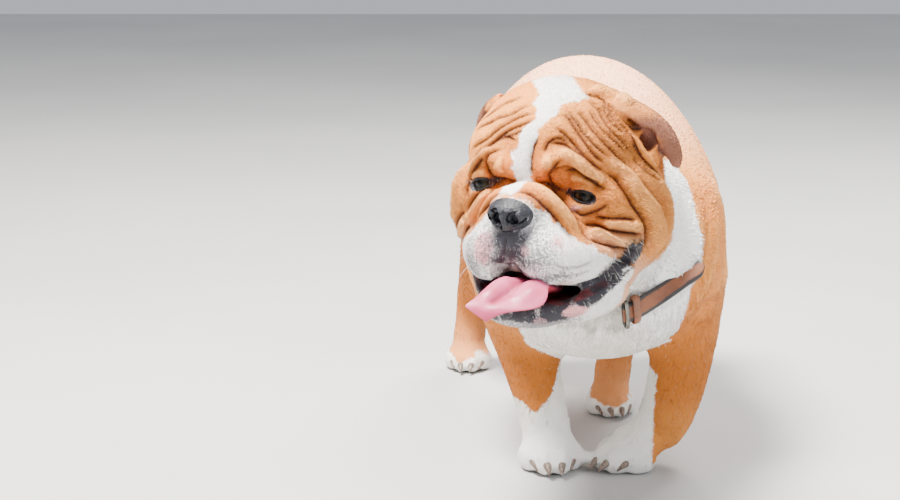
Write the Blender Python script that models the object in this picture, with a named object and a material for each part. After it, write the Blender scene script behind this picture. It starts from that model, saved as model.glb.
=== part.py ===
"""A life-size english bulldog, walking, with its head turned to its right and its mouth open.

Metres, +Z up. The dog faces -Y and its left side is +X. The floor is Z = 0, and the origin lies
on the floor in the middle of the dog's outline. Flesh is modelled whole from lofted limbs and
rounded masses, then parted into named nodes with thin cuts. The other pieces are fitted to it.
"""

import math

import bmesh
import bpy
from mathutils import Euler, Matrix, Vector
from mathutils.bvhtree import BVHTree

# Driving dimensions of the body
WITHERS_HEIGHT = 0.403
LOIN_HEIGHT = 0.454
CHEST_FLOOR = 0.120
CHEST_HALF_WIDTH = 0.158

# Head pose: the point between the eyes, and the turns about Z and Y in degrees
HEAD_PLACE = Vector((-0.0785, -0.214, 0.357))
HEAD_YAW = -28.0
HEAD_ROLL = -2.0

# Head sizes, in the head's own frame: origin between the eyes, -Y to the nose, +Z to the crown
EYE_RADIUS = 0.0130
EYE_CENTRE = Vector((0.0555, 0.008, 0.000))
EYE_TILT = 0.004
FACE_OFFSET = 0.0025
LID_THICKNESS = 0.0028
LID_SLIT = Vector((0.0140, 0.0140, 0.0085))
LID_DROOP = 14.0
LID_TURN = 20.0
# The jaw swings a little to the left: its right side lies this much nearer to the middle
JAW_RIGHT_SHARE = 0.80
NOSE_CENTRE = Vector((-0.002, -0.056, -0.0175))
NOSE_RADII = Vector((0.0235, 0.017, 0.0155))

# Paws: place on the floor, heading in degrees and scale
PAWS = {
    "forepaw_right": (Vector((-0.050, -0.020, 0.0)), 4.0, 1.0),
    "forepaw_left": (Vector((0.036, -0.018, 0.0)), -50.0, 1.0),
    "hindpaw_right": (Vector((-0.141, 0.440, 0.0)), -6.0, 0.86),
    "hindpaw_left": (Vector((0.036, 0.216, 0.0)), 8.0, 0.86),
}
PAW_TOP = 0.056
TOES = [(-0.026, -0.002), (-0.0095, -0.020), (0.0095, -0.020), (0.026, -0.002)]
TOE_RADII = Vector((0.0130, 0.0225, 0.0185))
CLAW_LENGTH = 0.016
CLAW_RADIUS = 0.0042

# Collar: middle of its loop, the direction that it faces along the neck, and the strap's section
COLLAR_CENTRE = Vector((-0.030, -0.095, 0.298))
COLLAR_AXIS = Vector((-0.18, -0.83, 0.52)).normalized()
STRAP_WIDTH = 0.022
STRAP_THICKNESS = 0.0035
STRAP_SINK = 0.002
STRAP_TILT = Vector((-0.10, -0.55, 0.83)).normalized()

# How finely the flesh is made, and the gap kept between nodes that touch
GAP = 0.0003
BODY_VOXEL = 0.004
HEAD_VOXEL = 0.003
RING_SIDES = 24
FACE_TRIANGLES = 2600
SCALP_TRIANGLES = 600
PAW_TRIANGLES = 800
BODY_TRIANGLES = 2400
EAR_TRIANGLES = 520

COLOURS = {
    "coat_tan": ((0.56, 0.27, 0.11), 0.8, 0.0),
    "coat_white": ((0.80, 0.78, 0.75), 0.8, 0.0),
    "nose_leather": ((0.05, 0.05, 0.06), 0.4, 0.0),
    "tongue_pink": ((0.80, 0.36, 0.42), 0.35, 0.0),
    "eye_dark": ((0.05, 0.03, 0.02), 0.08, 0.0),
    "collar_leather": ((0.36, 0.15, 0.07), 0.6, 0.0),
    "buckle_steel": ((0.55, 0.54, 0.50), 0.3, 1.0),
}


# The finish of each node that isn't coat
FINISHES = {
    "nose": "nose_leather",
    "tongue": "tongue_pink",
    "eye_left": "eye_dark",
    "eye_right": "eye_dark",
    "collar_band": "collar_leather",
    "collar_strap_end": "collar_leather",
    "collar_keeper": "collar_leather",
    "collar_buckle": "buckle_steel",
}


def head_matrix():
    yaw = Matrix.Rotation(math.radians(HEAD_YAW), 4, "Z")
    roll = Matrix.Rotation(math.radians(HEAD_ROLL), 4, "Y")
    return Matrix.Translation(HEAD_PLACE) @ yaw @ roll


HEAD = head_matrix()


def clear_scene():
    for obj in list(bpy.data.objects):
        bpy.data.objects.remove(obj)


def make_material(name):
    colour, roughness, metallic = COLOURS[name]
    material = bpy.data.materials.new(name)
    material.use_nodes = True
    shader = material.node_tree.nodes["Principled BSDF"]
    shader.inputs["Base Color"].default_value = (*colour, 1.0)
    shader.inputs["Roughness"].default_value = roughness
    shader.inputs["Metallic"].default_value = metallic
    return material


def new_object(name, bm):
    bmesh.ops.recalc_face_normals(bm, faces=bm.faces)
    mesh = bpy.data.meshes.new(name)
    bm.to_mesh(mesh)
    bm.free()
    obj = bpy.data.objects.new(name, mesh)
    bpy.context.collection.objects.link(obj)
    return obj


def copy_of(obj, name):
    twin = bpy.data.objects.new(name, obj.data.copy())
    bpy.context.collection.objects.link(twin)
    return twin


def remove(*objects):
    for obj in objects:
        bpy.data.objects.remove(obj)


def apply_modifiers(obj):
    bpy.context.view_layer.update()
    graph = bpy.context.evaluated_depsgraph_get()
    mesh = bpy.data.meshes.new_from_object(obj.evaluated_get(graph), depsgraph=graph)
    obj.modifiers.clear()
    obj.data = mesh
    return obj


def keep_largest(obj):
    """Leaves only the largest closed surface of a mesh."""
    bm = bmesh.new()
    bm.from_mesh(obj.data)
    waiting = set(bm.faces)
    shells = []
    while waiting:
        shell = set()
        front = [waiting.pop()]
        while front:
            face = front.pop()
            shell.add(face)
            near = {other for edge in face.edges for other in edge.link_faces}
            fresh = near & waiting
            waiting -= fresh
            front.extend(fresh)
        shells.append(shell)
    shells.sort(key=lambda shell: sum(face.calc_area() for face in shell))
    scraps = [face for shell in shells[:-1] for face in shell]
    if scraps:
        bmesh.ops.delete(bm, geom=scraps, context="FACES")
    bm.to_mesh(obj.data)
    bm.free()
    return obj


def boolean(obj, other, operation):
    """Cuts, joins or trims obj with other, and leaves other as it is."""
    before = obj.data.copy()
    for solver in ("EXACT", "MANIFOLD"):
        obj.data = before.copy()
        cut = obj.modifiers.new("cut", "BOOLEAN")
        cut.solver = solver
        cut.operation = operation
        cut.object = other
        apply_modifiers(obj)
        if obj.data.polygons:
            break
    return keep_largest(obj)


def split_faces(obj):
    """Makes every face a triangle, so that a bent face has one shape wherever it is read."""
    bm = bmesh.new()
    bm.from_mesh(obj.data)
    bmesh.ops.triangulate(bm, faces=bm.faces)
    bm.to_mesh(obj.data)
    bm.free()


def grown(obj, distance):
    """A copy of a solid with its surface moved outwards."""
    split_faces(obj)
    shell = copy_of(obj, "shell")
    push = shell.modifiers.new("push", "DISPLACE")
    push.strength = distance
    push.mid_level = 0.0
    return apply_modifiers(shell)


def fit_against(piece, *neighbours):
    """Cuts a piece clear of its neighbours by the gap, so that they meet face to face."""
    for neighbour in neighbours:
        shell = grown(neighbour, GAP)
        boolean(piece, shell, "DIFFERENCE")
        remove(shell)
    return piece


def seat(piece, *neighbours):
    """Cuts a bed for a piece in its neighbours, wider than it by the gap."""
    shell = grown(piece, GAP)
    for neighbour in neighbours:
        boolean(neighbour, shell, "DIFFERENCE")
    remove(shell)
    return piece


def turned(degrees):
    return Euler([math.radians(angle) for angle in degrees]).to_matrix().to_4x4()


def egg(centre, radii, turn=(0.0, 0.0, 0.0), frame=None, fineness=4):
    """A rounded mass: an ellipsoid with these half sizes, turned by degrees about X, Y and Z."""
    bm = bmesh.new()
    place = Matrix.Translation(centre) @ turned(turn) @ Matrix.Diagonal((*radii, 1.0))
    place = (frame or Matrix()) @ place
    bmesh.ops.create_icosphere(bm, subdivisions=fineness, radius=1.0, matrix=place)
    return new_object("mass", bm)


def mirrored(point):
    return Vector((-point[0], point[1], point[2]))


def egg_pair(centre, radii, turn=(0.0, 0.0, 0.0), frame=None):
    left = egg(centre, radii, turn, frame)
    right = egg(mirrored(centre), radii, (turn[0], -turn[1], -turn[2]), frame)
    return [left, right]


def loft(rings, frame=None, across=(1.0, 0.0, 0.0), sides=RING_SIDES, levels=2):
    """A limb through rings of (centre, half width, half depth), each square to the path there.

    The half width lies as near to the direction `across` as the path lets it.
    """
    centres = [Vector(ring[0]) for ring in rings]
    bm = bmesh.new()
    loops = []
    for i, (centre, half_width, half_depth) in enumerate(rings):
        ahead = centres[min(i + 1, len(rings) - 1)] - centres[max(i - 1, 0)]
        ahead.normalize()
        side = Vector(across)
        side = (side - ahead * side.dot(ahead)).normalized()
        front = ahead.cross(side)
        axes = Matrix((side * half_width, front * half_depth, ahead)).transposed().to_4x4()
        place = (frame or Matrix()) @ Matrix.Translation(centre) @ axes
        made = bmesh.ops.create_circle(bm, segments=sides, radius=1.0, matrix=place)
        verts = set(made["verts"])
        loops.append([e for e in bm.edges if e.verts[0] in verts and e.verts[1] in verts])
    for first, second in zip(loops, loops[1:]):
        bmesh.ops.bridge_loops(bm, edges=first + second)
    ends = [edge for edge in bm.edges if edge.is_boundary]
    bmesh.ops.holes_fill(bm, edges=ends, sides=sides)
    obj = new_object("limb", bm)
    if levels:
        smooth = obj.modifiers.new("round", "SUBSURF")
        smooth.levels = smooth.render_levels = levels
        apply_modifiers(obj)
    return obj


def loft_pair(rings, frame=None, across=(0.0, 0.0, 1.0), right_share=1.0):
    """A limb and its mirror image, which may lie nearer to the middle."""
    other = []
    for centre, half_width, half_depth in rings:
        across_place = Vector((-centre[0] * right_share, centre[1], centre[2]))
        other.append((across_place, half_width, half_depth))
    return [loft(rings, frame, across), loft(other, frame, across)]


def fuse(name, pieces, voxel, passes):
    """Joins overlapping pieces into one closed skin and relaxes it."""
    bm = bmesh.new()
    for piece in pieces:
        bm.from_mesh(piece.data)
    remove(*pieces)
    obj = new_object(name, bm)
    skin = obj.modifiers.new("skin", "REMESH")
    skin.mode = "VOXEL"
    skin.voxel_size = voxel
    relax = obj.modifiers.new("relax", "SMOOTH")
    relax.factor = 0.5
    relax.iterations = passes
    return apply_modifiers(obj)


def torso_pieces():
    """Sections square to the spine: place along Y, underline, topline and half width."""
    sections = [
        (-0.140, 0.195, 0.290, 0.055),
        (-0.120, 0.154, 0.325, 0.098),
        (-0.066, 0.128, 0.362, 0.132),
        (0.010, CHEST_FLOOR, WITHERS_HEIGHT, 0.147),
        (0.080, CHEST_FLOOR, WITHERS_HEIGHT + 0.010, CHEST_HALF_WIDTH),
        (0.155, 0.140, 0.436, 0.155),
        (0.225, 0.158, LOIN_HEIGHT, 0.140),
        (0.290, 0.178, LOIN_HEIGHT - 0.004, 0.123),
        (0.355, 0.202, 0.424, 0.110),
        (0.402, 0.242, 0.368, 0.082),
        (0.428, 0.272, 0.332, 0.042),
    ]
    rings = [
        ((0.0, y, (low + high) / 2), half, (high - low) / 2) for y, low, high, half in sections
    ]
    neck = [
        ((0.0, 0.050, 0.292), 0.118, 0.092),
        ((-0.008, -0.030, 0.292), 0.122, 0.108),
        ((-0.026, -0.095, 0.304), 0.117, 0.114),
        ((-0.048, -0.145, 0.320), 0.102, 0.104),
    ]
    pieces = [loft(rings), loft(neck)]
    pieces += egg_pair((0.092, 0.012, 0.262), (0.056, 0.082, 0.096), (-14, 0, 0))
    pieces += egg_pair((0.080, 0.342, 0.284), (0.055, 0.084, 0.108), (18, 0, 0))
    return pieces


def leg_pieces():
    fore_right = [
        ((-0.096, 0.018, 0.275), 0.048, 0.062),
        ((-0.098, 0.028, 0.215), 0.047, 0.056),
        ((-0.088, 0.032, 0.168), 0.042, 0.048),
        ((-0.075, 0.020, 0.125), 0.036, 0.039),
        ((-0.064, 0.004, 0.085), 0.032, 0.034),
        ((-0.055, -0.004, 0.048), 0.031, 0.033),
        ((-0.051, -0.008, 0.020), 0.029, 0.030),
    ]
    fore_left = [
        ((0.098, 0.015, 0.275), 0.048, 0.062),
        ((0.108, 0.026, 0.215), 0.047, 0.056),
        ((0.107, 0.030, 0.165), 0.043, 0.050),
        ((0.102, 0.018, 0.125), 0.039, 0.042),
        ((0.095, 0.006, 0.090), 0.036, 0.037),
        ((0.083, 0.000, 0.055), 0.034, 0.034),
        ((0.060, -0.006, 0.022), 0.030, 0.028),
    ]
    hind_right = [
        ((-0.086, 0.345, 0.290), 0.052, 0.082),
        ((-0.104, 0.338, 0.225), 0.046, 0.068),
        ((-0.120, 0.385, 0.168), 0.036, 0.048),
        ((-0.131, 0.440, 0.118), 0.026, 0.033),
        ((-0.137, 0.458, 0.072), 0.024, 0.026),
        ((-0.140, 0.454, 0.036), 0.024, 0.025),
        ((-0.141, 0.446, 0.016), 0.023, 0.024),
    ]
    hind_left = [
        ((0.084, 0.335, 0.290), 0.052, 0.082),
        ((0.098, 0.290, 0.225), 0.046, 0.066),
        ((0.080, 0.280, 0.168), 0.037, 0.047),
        ((0.058, 0.290, 0.118), 0.028, 0.033),
        ((0.044, 0.264, 0.072), 0.026, 0.026),
        ((0.038, 0.236, 0.036), 0.025, 0.025),
        ((0.036, 0.222, 0.016), 0.023, 0.024),
    ]
    return [loft(rings) for rings in (fore_right, fore_left, hind_right, hind_left)]


def paw_frame(name):
    place, heading, scale = PAWS[name]
    turn = Matrix.Rotation(math.radians(heading), 4, "Z")
    return Matrix.Translation(place) @ turn @ Matrix.Scale(scale, 4)


def toe_turn(x):
    """Toes spread like a fan: the outer ones point outwards, in degrees."""
    return -x * 480


def paw_pieces():
    pieces = []
    for name in PAWS:
        frame = paw_frame(name)
        pieces.append(egg((0.0, 0.012, 0.024), (0.032, 0.034, 0.027), frame=frame))
        for x, y in TOES:
            pieces.append(egg((x, y, 0.0150), TOE_RADII, (0, 0, toe_turn(x)), frame))
    return pieces


def claws(name):
    """Four claws of one paw: bent cones that start inside the toes and end above the floor."""
    frame = paw_frame(name)
    pieces = []
    for x, y in TOES:
        turn = Matrix.Rotation(math.radians(toe_turn(x)), 4, "Z")
        toe = frame @ Matrix.Translation((x, y, 0.0)) @ turn
        reach = TOE_RADII.y
        rings = [
            ((0.0, -reach + 0.008, 0.0150), CLAW_RADIUS, CLAW_RADIUS),
            ((0.0, -reach - 0.001, 0.0135), CLAW_RADIUS * 0.85, CLAW_RADIUS * 0.9),
            ((0.0, -reach + 0.008 - CLAW_LENGTH, 0.0070), CLAW_RADIUS * 0.4, CLAW_RADIUS * 0.5),
        ]
        pieces.append(loft(rings, toe, sides=6, levels=0))
    return pieces


def head_mass_pieces():
    """The broad forms of the head, which are fused and relaxed most."""
    pieces = [
        egg((0.0, 0.066, 0.040), (0.086, 0.084, 0.069), frame=HEAD),
        egg((0.0, 0.026, 0.050), (0.062, 0.044, 0.042), frame=HEAD),
        egg((0.0, 0.062, -0.082), (0.086, 0.068, 0.055), frame=HEAD),
        egg((0.0, 0.112, 0.005), (0.096, 0.060, 0.095), frame=HEAD),
        egg((0.0, -0.008, -0.042), (0.062, 0.050, 0.044), frame=HEAD),
    ]
    pieces += egg_pair((0.050, 0.050, 0.032), (0.040, 0.058, 0.048), frame=HEAD)
    pieces += egg_pair((0.070, 0.060, -0.030), (0.048, 0.060, 0.066), frame=HEAD)
    pieces += egg_pair((0.066, 0.026, -0.010), (0.038, 0.030, 0.034), frame=HEAD)
    ramus = [
        ((0.030, -0.026, -0.118), 0.021, 0.022),
        ((0.054, 0.004, -0.112), 0.024, 0.025),
        ((0.072, 0.048, -0.090), 0.032, 0.036),
    ]
    pieces += loft_pair(ramus, HEAD, right_share=JAW_RIGHT_SHARE)
    pieces.append(egg((0.0, -0.024, -0.121), (0.048, 0.036, 0.018), frame=HEAD))
    return pieces


def head_feature_pieces():
    """Muzzle, lips, rolls and lids, which keep their edges."""
    pieces = [
        egg((0.0, -0.036, -0.010), (0.032, 0.026, 0.018), frame=HEAD),
        egg(NOSE_CENTRE, NOSE_RADII, frame=HEAD),
        egg((0.0, -0.050, -0.046), (0.020, 0.018, 0.022), frame=HEAD),
    ]
    flew = [
        ((0.009, -0.050, -0.050), 0.023, 0.020),
        ((0.027, -0.046, -0.059), 0.029, 0.024),
        ((0.046, -0.029, -0.065), 0.030, 0.023),
        ((0.063, -0.008, -0.065), 0.026, 0.019),
        ((0.086, 0.010, -0.061), 0.015, 0.013),
    ]
    nose_roll = [
        ((-0.004, -0.038, 0.005), 0.008, 0.008),
        ((0.020, -0.037, 0.000), 0.009, 0.009),
        ((0.038, -0.029, -0.014), 0.009, 0.009),
        ((0.050, -0.018, -0.033), 0.009, 0.009),
        ((0.060, -0.006, -0.052), 0.007, 0.007),
    ]
    lower_lip = [
        ((-0.006, -0.051, -0.117), 0.013, 0.010),
        ((0.028, -0.044, -0.116), 0.014, 0.010),
        ((0.058, -0.020, -0.109), 0.014, 0.011),
        ((0.084, 0.004, -0.093), 0.012, 0.010),
        ((0.101, 0.022, -0.073), 0.009, 0.008),
    ]
    brow = [
        ((0.014, -0.010, 0.018), 0.009, 0.009),
        ((0.026, -0.012, 0.032), 0.010, 0.010),
        ((0.046, -0.006, 0.036), 0.011, 0.010),
        ((0.066, 0.006, 0.024), 0.010, 0.010),
        ((0.078, 0.018, 0.006), 0.008, 0.008),
    ]
    shares = ((flew, 0.94), (nose_roll, 1.0), (lower_lip, JAW_RIGHT_SHARE), (brow, 1.0))
    for rings, share in shares:
        pieces += loft_pair(rings, HEAD, right_share=share)
    lid = EYE_RADIUS + LID_THICKNESS
    pieces += [egg(eye_place(sign), (lid, lid, lid), frame=HEAD) for sign in (1.0, -1.0)]
    return pieces


def mouth_cutter():
    pieces = [
        egg((-0.013, -0.056, -0.088), (0.014, 0.036, 0.021), frame=HEAD),
        egg((0.0, -0.014, -0.098), (0.058, 0.050, 0.014), frame=HEAD),
    ]
    slit = [
        ((0.108, 0.012, -0.068), 0.003, 0.003),
        ((0.092, -0.006, -0.083), 0.007, 0.014),
        ((0.068, -0.034, -0.099), 0.008, 0.018),
        ((0.036, -0.062, -0.105), 0.008, 0.018),
        ((-0.004, -0.070, -0.106), 0.008, 0.018),
    ]
    pieces += loft_pair(slit, HEAD, right_share=(1.0 + JAW_RIGHT_SHARE) / 2)
    return fuse("mouth_cutter", pieces, HEAD_VOXEL * 0.7, 2)


def region_of(point):
    """The part of the animal that a point of its skin belongs to, for the fineness of its faces."""
    local = HEAD.inverted() @ point
    if local.z > -0.15 and local.y < 0.12:
        return "face" if local.y < 0.03 else "scalp"
    return "paws" if point.z < PAW_TOP else "body"


def thin_out(obj, region, target):
    """Collapses one region of a skin to about this many triangles."""
    group = obj.vertex_groups.new(name=region)
    inside = [vert.index for vert in obj.data.vertices if region_of(vert.co) == region]
    group.add(inside, 1.0, "REPLACE")
    total = sum(len(face.vertices) - 2 for face in obj.data.polygons)
    here = sum(len(face.vertices) - 2 for face in obj.data.polygons if region_of(face.center) == region)
    reduce = obj.modifiers.new("reduce", "DECIMATE")
    reduce.ratio = (total - here + target) / total
    reduce.vertex_group = region
    reduce.use_collapse_triangulate = True
    apply_modifiers(obj)


def flesh():
    """The whole animal as one skin, still in one piece."""
    body = fuse("body", torso_pieces(), BODY_VOXEL, 30)
    body = fuse("body", [body] + leg_pieces(), BODY_VOXEL, 10)
    head = fuse("head", head_mass_pieces(), HEAD_VOXEL, 16)
    head = fuse("head", [head] + head_feature_pieces(), HEAD_VOXEL, 4)
    mouth = mouth_cutter()
    boolean(head, mouth, "DIFFERENCE")
    remove(mouth)
    whole = fuse("flesh", [body, head] + paw_pieces(), HEAD_VOXEL, 3)
    thin_out(whole, "body", BODY_TRIANGLES)
    thin_out(whole, "paws", PAW_TRIANGLES)
    thin_out(whole, "scalp", SCALP_TRIANGLES)
    thin_out(whole, "face", FACE_TRIANGLES)
    split_faces(whole)
    return keep_largest(whole)


def wedge(planes, grow=0.0):
    """A convex block bounded by planes of (point, outward direction)."""
    bm = bmesh.new()
    bmesh.ops.create_cube(bm, size=4.0)
    for point, outward in planes:
        outward = Vector(outward).normalized()
        everything = bm.verts[:] + bm.edges[:] + bm.faces[:]
        place = Vector(point) + outward * grow
        bmesh.ops.bisect_plane(bm, geom=everything, plane_co=place, plane_no=outward, clear_outer=True)
        rim = [edge for edge in bm.edges if edge.is_boundary]
        bmesh.ops.holes_fill(bm, edges=rim, sides=0)
    return new_object("wedge", bm)


def part_off(body, name, planes):
    """Takes the region inside the planes off the body as a node of its own."""
    node = copy_of(body, name)
    inner = wedge(planes)
    outer = wedge(planes, GAP)
    boolean(node, inner, "INTERSECT")
    boolean(body, outer, "DIFFERENCE")
    remove(inner, outer)
    return node


def in_head(point):
    return HEAD @ Vector(point)


def head_turn(direction):
    return HEAD.to_3x3() @ Vector(direction)


def floor_planes():
    return [((0.0, 0.0, 0.0), (0.0, 0.0, -1.0))]


def part_flesh(whole):
    """Thin cuts where a person would name the parts."""
    floor = wedge(floor_planes())
    boolean(whole, floor, "INTERSECT")
    remove(floor)
    nodes = {}
    head_planes = [
        (in_head((0.0, 0.112, 0.0)), head_turn((0.0, 1.0, -0.10))),
        ((0.0, -0.280, 0.200), (0.0, 0.40, -1.0)),
    ]
    nodes["head"] = part_off(whole, "head", head_planes)
    neck_planes = [((0.0, -0.030, 0.300), -COLLAR_AXIS), ((0.0, -0.130, 0.190), (0.0, 0.55, -1.0))]
    nodes["neck"] = part_off(whole, "neck", neck_planes)
    ground = ((0.0, 0.0, PAW_TOP), (0.0, 0.0, 1.0))
    for side, sign in (("left", 1.0), ("right", -1.0)):
        between_fore = ((-0.0085, 0.0, 0.0), (-sign, 0.0, 0.0))
        between_hind = ((-0.050, 0.0, 0.0), (-sign, 0.0, 0.0))
        fore_half = ((0.0, 0.110, 0.0), (0.0, 1.0, 0.0))
        hind_half = ((0.0, 0.110, 0.0), (0.0, -1.0, 0.0))
        fore = [
            ((sign * 0.045, 0.0, 0.120), (-sign, 0.0, 0.40)),
            ((0.0, 0.0, 0.235), (-sign * 0.3, 0.0, 1.0)),
            ((0.0, 0.100, 0.150), (0.0, 1.0, 0.3)),
        ]
        hind = [
            ((sign * 0.052, 0.350, 0.200), (-sign, 0.0, 0.30)),
            ((0.0, 0.350, 0.300), (-sign * 0.3, 0.0, 1.0)),
            ((0.0, 0.215, 0.150), (0.0, -1.0, 0.4)),
        ]
        regions = {
            "forepaw_": [ground, between_fore, fore_half],
            "hindpaw_": [ground, between_hind, hind_half],
            "foreleg_": fore,
            "hindleg_": hind,
        }
        for name, planes in regions.items():
            nodes[name + side] = part_off(whole, name + side, planes)
    whole.name = "torso"
    nodes["torso"] = whole
    return nodes


def part_jaw(head):
    """The lower jaw, below the line of the mouth and in front of its hinge."""
    planes = [
        (in_head((0.0, 0.014, -0.078)), head_turn((0.0, -0.26, 1.0))),
        (in_head((0.0, 0.030, -0.080)), head_turn((0.0, 1.0, 0.45))),
    ]
    return part_off(head, "lower_jaw", planes)


def eye_place(sign):
    """The left eye sits a little lower than the right, and both lie off to the right."""
    x, y, z = EYE_CENTRE
    return Vector((sign * x - FACE_OFFSET, y, z - sign * EYE_TILT))


def eyes(head):
    """Eyeballs in their sockets, each seen through a slit between its lids."""
    made = []
    for side, sign in (("left", 1.0), ("right", -1.0)):
        centre = eye_place(sign)
        socket = egg(centre, (EYE_RADIUS + GAP,) * 3, frame=HEAD, fineness=3)
        opening = centre + Vector((sign * 0.002, -EYE_RADIUS, 0.0))
        turn = (0.0, sign * LID_DROOP, sign * LID_TURN)
        slit = egg(opening, LID_SLIT, turn, HEAD, fineness=3)
        boolean(head, slit, "DIFFERENCE")
        boolean(head, socket, "DIFFERENCE")
        remove(socket, slit)
        eye = egg(centre, (EYE_RADIUS,) * 3, frame=HEAD, fineness=2)
        eye.name = "eye_" + side
        made.append(eye)
    return made


def nose(head):
    """The nose leather, parted from the muzzle, with its nostrils and the groove between."""
    pad = NOSE_RADII * 1.10
    inner = egg(NOSE_CENTRE, pad, frame=HEAD, fineness=3)
    outer = grown(inner, GAP)
    node = copy_of(head, "nose")
    boolean(node, inner, "INTERSECT")
    boolean(head, outer, "DIFFERENCE")
    remove(inner, outer)
    for sign in (1.0, -1.0):
        nostril = [
            ((sign * 0.0090, -0.060, -0.020), 0.0050, 0.0050),
            ((sign * 0.0095, -0.078, -0.020), 0.0052, 0.0056),
        ]
        slit = [
            ((sign * 0.0080, -0.073, -0.026), 0.0040, 0.0026),
            ((sign * 0.0170, -0.071, -0.027), 0.0040, 0.0024),
            ((sign * 0.0300, -0.058, -0.021), 0.0036, 0.0018),
        ]
        for hole in (loft(nostril, HEAD, sides=8, levels=0), loft(slit, HEAD, (0, 1, 0), 8, 0)):
            boolean(node, hole, "DIFFERENCE")
            remove(hole)
    return node


def tongue(head, jaw):
    """A flat tongue that lies over the lower lip and hangs forwards."""
    rings = [
        ((0.004, 0.026, -0.103), 0.024, 0.010),
        ((0.008, -0.020, -0.103), 0.028, 0.010),
        ((0.012, -0.050, -0.099), 0.029, 0.009),
        ((0.008, -0.074, -0.098), 0.029, 0.006),
        ((-0.004, -0.098, -0.104), 0.026, 0.004),
        ((-0.014, -0.116, -0.110), 0.021, 0.003),
    ]
    node = loft(rings, HEAD, sides=16, levels=1)
    node.name = "tongue"
    return seat(node, jaw, head)


def ear_rows():
    """Rows across the left ear from its root to its tip: front edge, ridge and back edge."""
    return [
        ((0.062, 0.044, 0.084), (0.070, 0.066, 0.093), (0.074, 0.098, 0.079)),
        ((0.079, 0.050, 0.072), (0.088, 0.066, 0.083), (0.092, 0.102, 0.070)),
        ((0.092, 0.063, 0.060), (0.102, 0.078, 0.070), (0.106, 0.110, 0.055)),
        ((0.102, 0.074, 0.044), (0.112, 0.089, 0.054), (0.112, 0.115, 0.038)),
        ((0.109, 0.082, 0.028), (0.118, 0.099, 0.034), (0.115, 0.119, 0.022)),
        ((0.112, 0.092, 0.011), (0.116, 0.103, 0.011), (0.112, 0.115, 0.010)),
    ]


def ear_flap(sign):
    bm = bmesh.new()
    mirror = Matrix.Diagonal((sign, 1.0, 1.0, 1.0))
    rows = ear_rows()
    verts = [bm.verts.new(point) for point in rows[0]]
    edges = [bm.edges.new(pair) for pair in zip(verts, verts[1:])]
    for row in rows[1:]:
        grew = bmesh.ops.extrude_edge_only(bm, edges=edges)["geom"]
        verts = [item for item in grew if isinstance(item, bmesh.types.BMVert)]
        edges = [item for item in grew if isinstance(item, bmesh.types.BMEdge)]
        verts.sort(key=lambda vert: vert.co.y)
        for vert, point in zip(verts, row):
            vert.co = point
    bmesh.ops.transform(bm, matrix=HEAD @ mirror, verts=bm.verts)
    obj = new_object("flap", bm)
    curve = obj.modifiers.new("curve", "SUBSURF")
    curve.levels = curve.render_levels = 3
    wall = obj.modifiers.new("wall", "SOLIDIFY")
    wall.thickness = 0.0042
    wall.offset = 0.0
    return apply_modifiers(obj)


def ear(name, sign, head, neck):
    """A small folded-back ear with its cup, sunk in the head at its root."""
    flap = ear_flap(sign)
    cup = egg((sign * 0.083, 0.086, 0.038), (0.023, 0.026, 0.033), (0, 0, sign * 20), HEAD)
    rim = [
        ((0.083, 0.048, 0.058), 0.005, 0.006),
        ((0.093, 0.050, 0.043), 0.006, 0.006),
        ((0.101, 0.058, 0.026), 0.006, 0.006),
        ((0.105, 0.072, 0.010), 0.005, 0.006),
    ]
    rim = [((sign * x, y, z), width, depth) for (x, y, z), width, depth in rim]
    node = fuse(name, [flap, cup, loft(rim, HEAD, (0, 0, 1))], 0.0022, 3)
    hollow = egg((sign * 0.099, 0.065, 0.044), (0.011, 0.013, 0.014), (0, 0, sign * 20), HEAD, 3)
    boolean(node, hollow, "DIFFERENCE")
    remove(hollow)
    reduce = node.modifiers.new("reduce", "DECIMATE")
    reduce.ratio = EAR_TRIANGLES / (2 * len(node.data.polygons))
    reduce.use_collapse_triangulate = True
    apply_modifiers(node)
    return seat(node, head, neck)


def tail(torso):
    """A short screwed tail, set low and bent to one side."""
    rings = [
        ((0.000, 0.404, 0.348), 0.024, 0.022),
        ((0.003, 0.424, 0.348), 0.019, 0.016),
        ((0.010, 0.435, 0.336), 0.015, 0.013),
        ((0.013, 0.437, 0.320), 0.012, 0.010),
        ((0.008, 0.435, 0.308), 0.008, 0.007),
    ]
    node = loft(rings, sides=12, levels=1)
    node.name = "tail"
    return fit_against(node, torso)


def neck_outline(solids, steps):
    """Points round the neck in the collar's plane, read from the solids and evened out."""
    bm = bmesh.new()
    for solid in solids:
        bm.from_mesh(solid.data)
    surface = BVHTree.FromBMesh(bm)
    bm.free()
    across = COLLAR_AXIS.cross(Vector((0.0, 0.0, 1.0))).normalized()
    up = across.cross(COLLAR_AXIS)
    outline = []
    for i in range(steps):
        angle = 2 * math.pi * i / steps
        outward = across * math.cos(angle) + up * math.sin(angle)
        start = COLLAR_CENTRE + outward * 0.25
        hit = surface.ray_cast(start, -outward)[0]
        outline.append((outward, (hit - COLLAR_CENTRE).length))
    return outline


def bridge_all(bm, loops, closed):
    """Joins rings of edges one to the next, and the last to the first on a closed band."""
    for first, second in zip(loops, loops[1:] + loops[:1] if closed else loops[1:]):
        bmesh.ops.bridge_loops(bm, edges=first + second)
    if not closed:
        ends = [edge for edge in bm.edges if edge.is_boundary]
        bmesh.ops.holes_fill(bm, edges=ends, sides=0)


def ring_of(bm, corners):
    verts = [bm.verts.new(corner) for corner in corners]
    return [bm.edges.new((verts[i - 1], verts[i])) for i in range(len(verts))]


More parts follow.
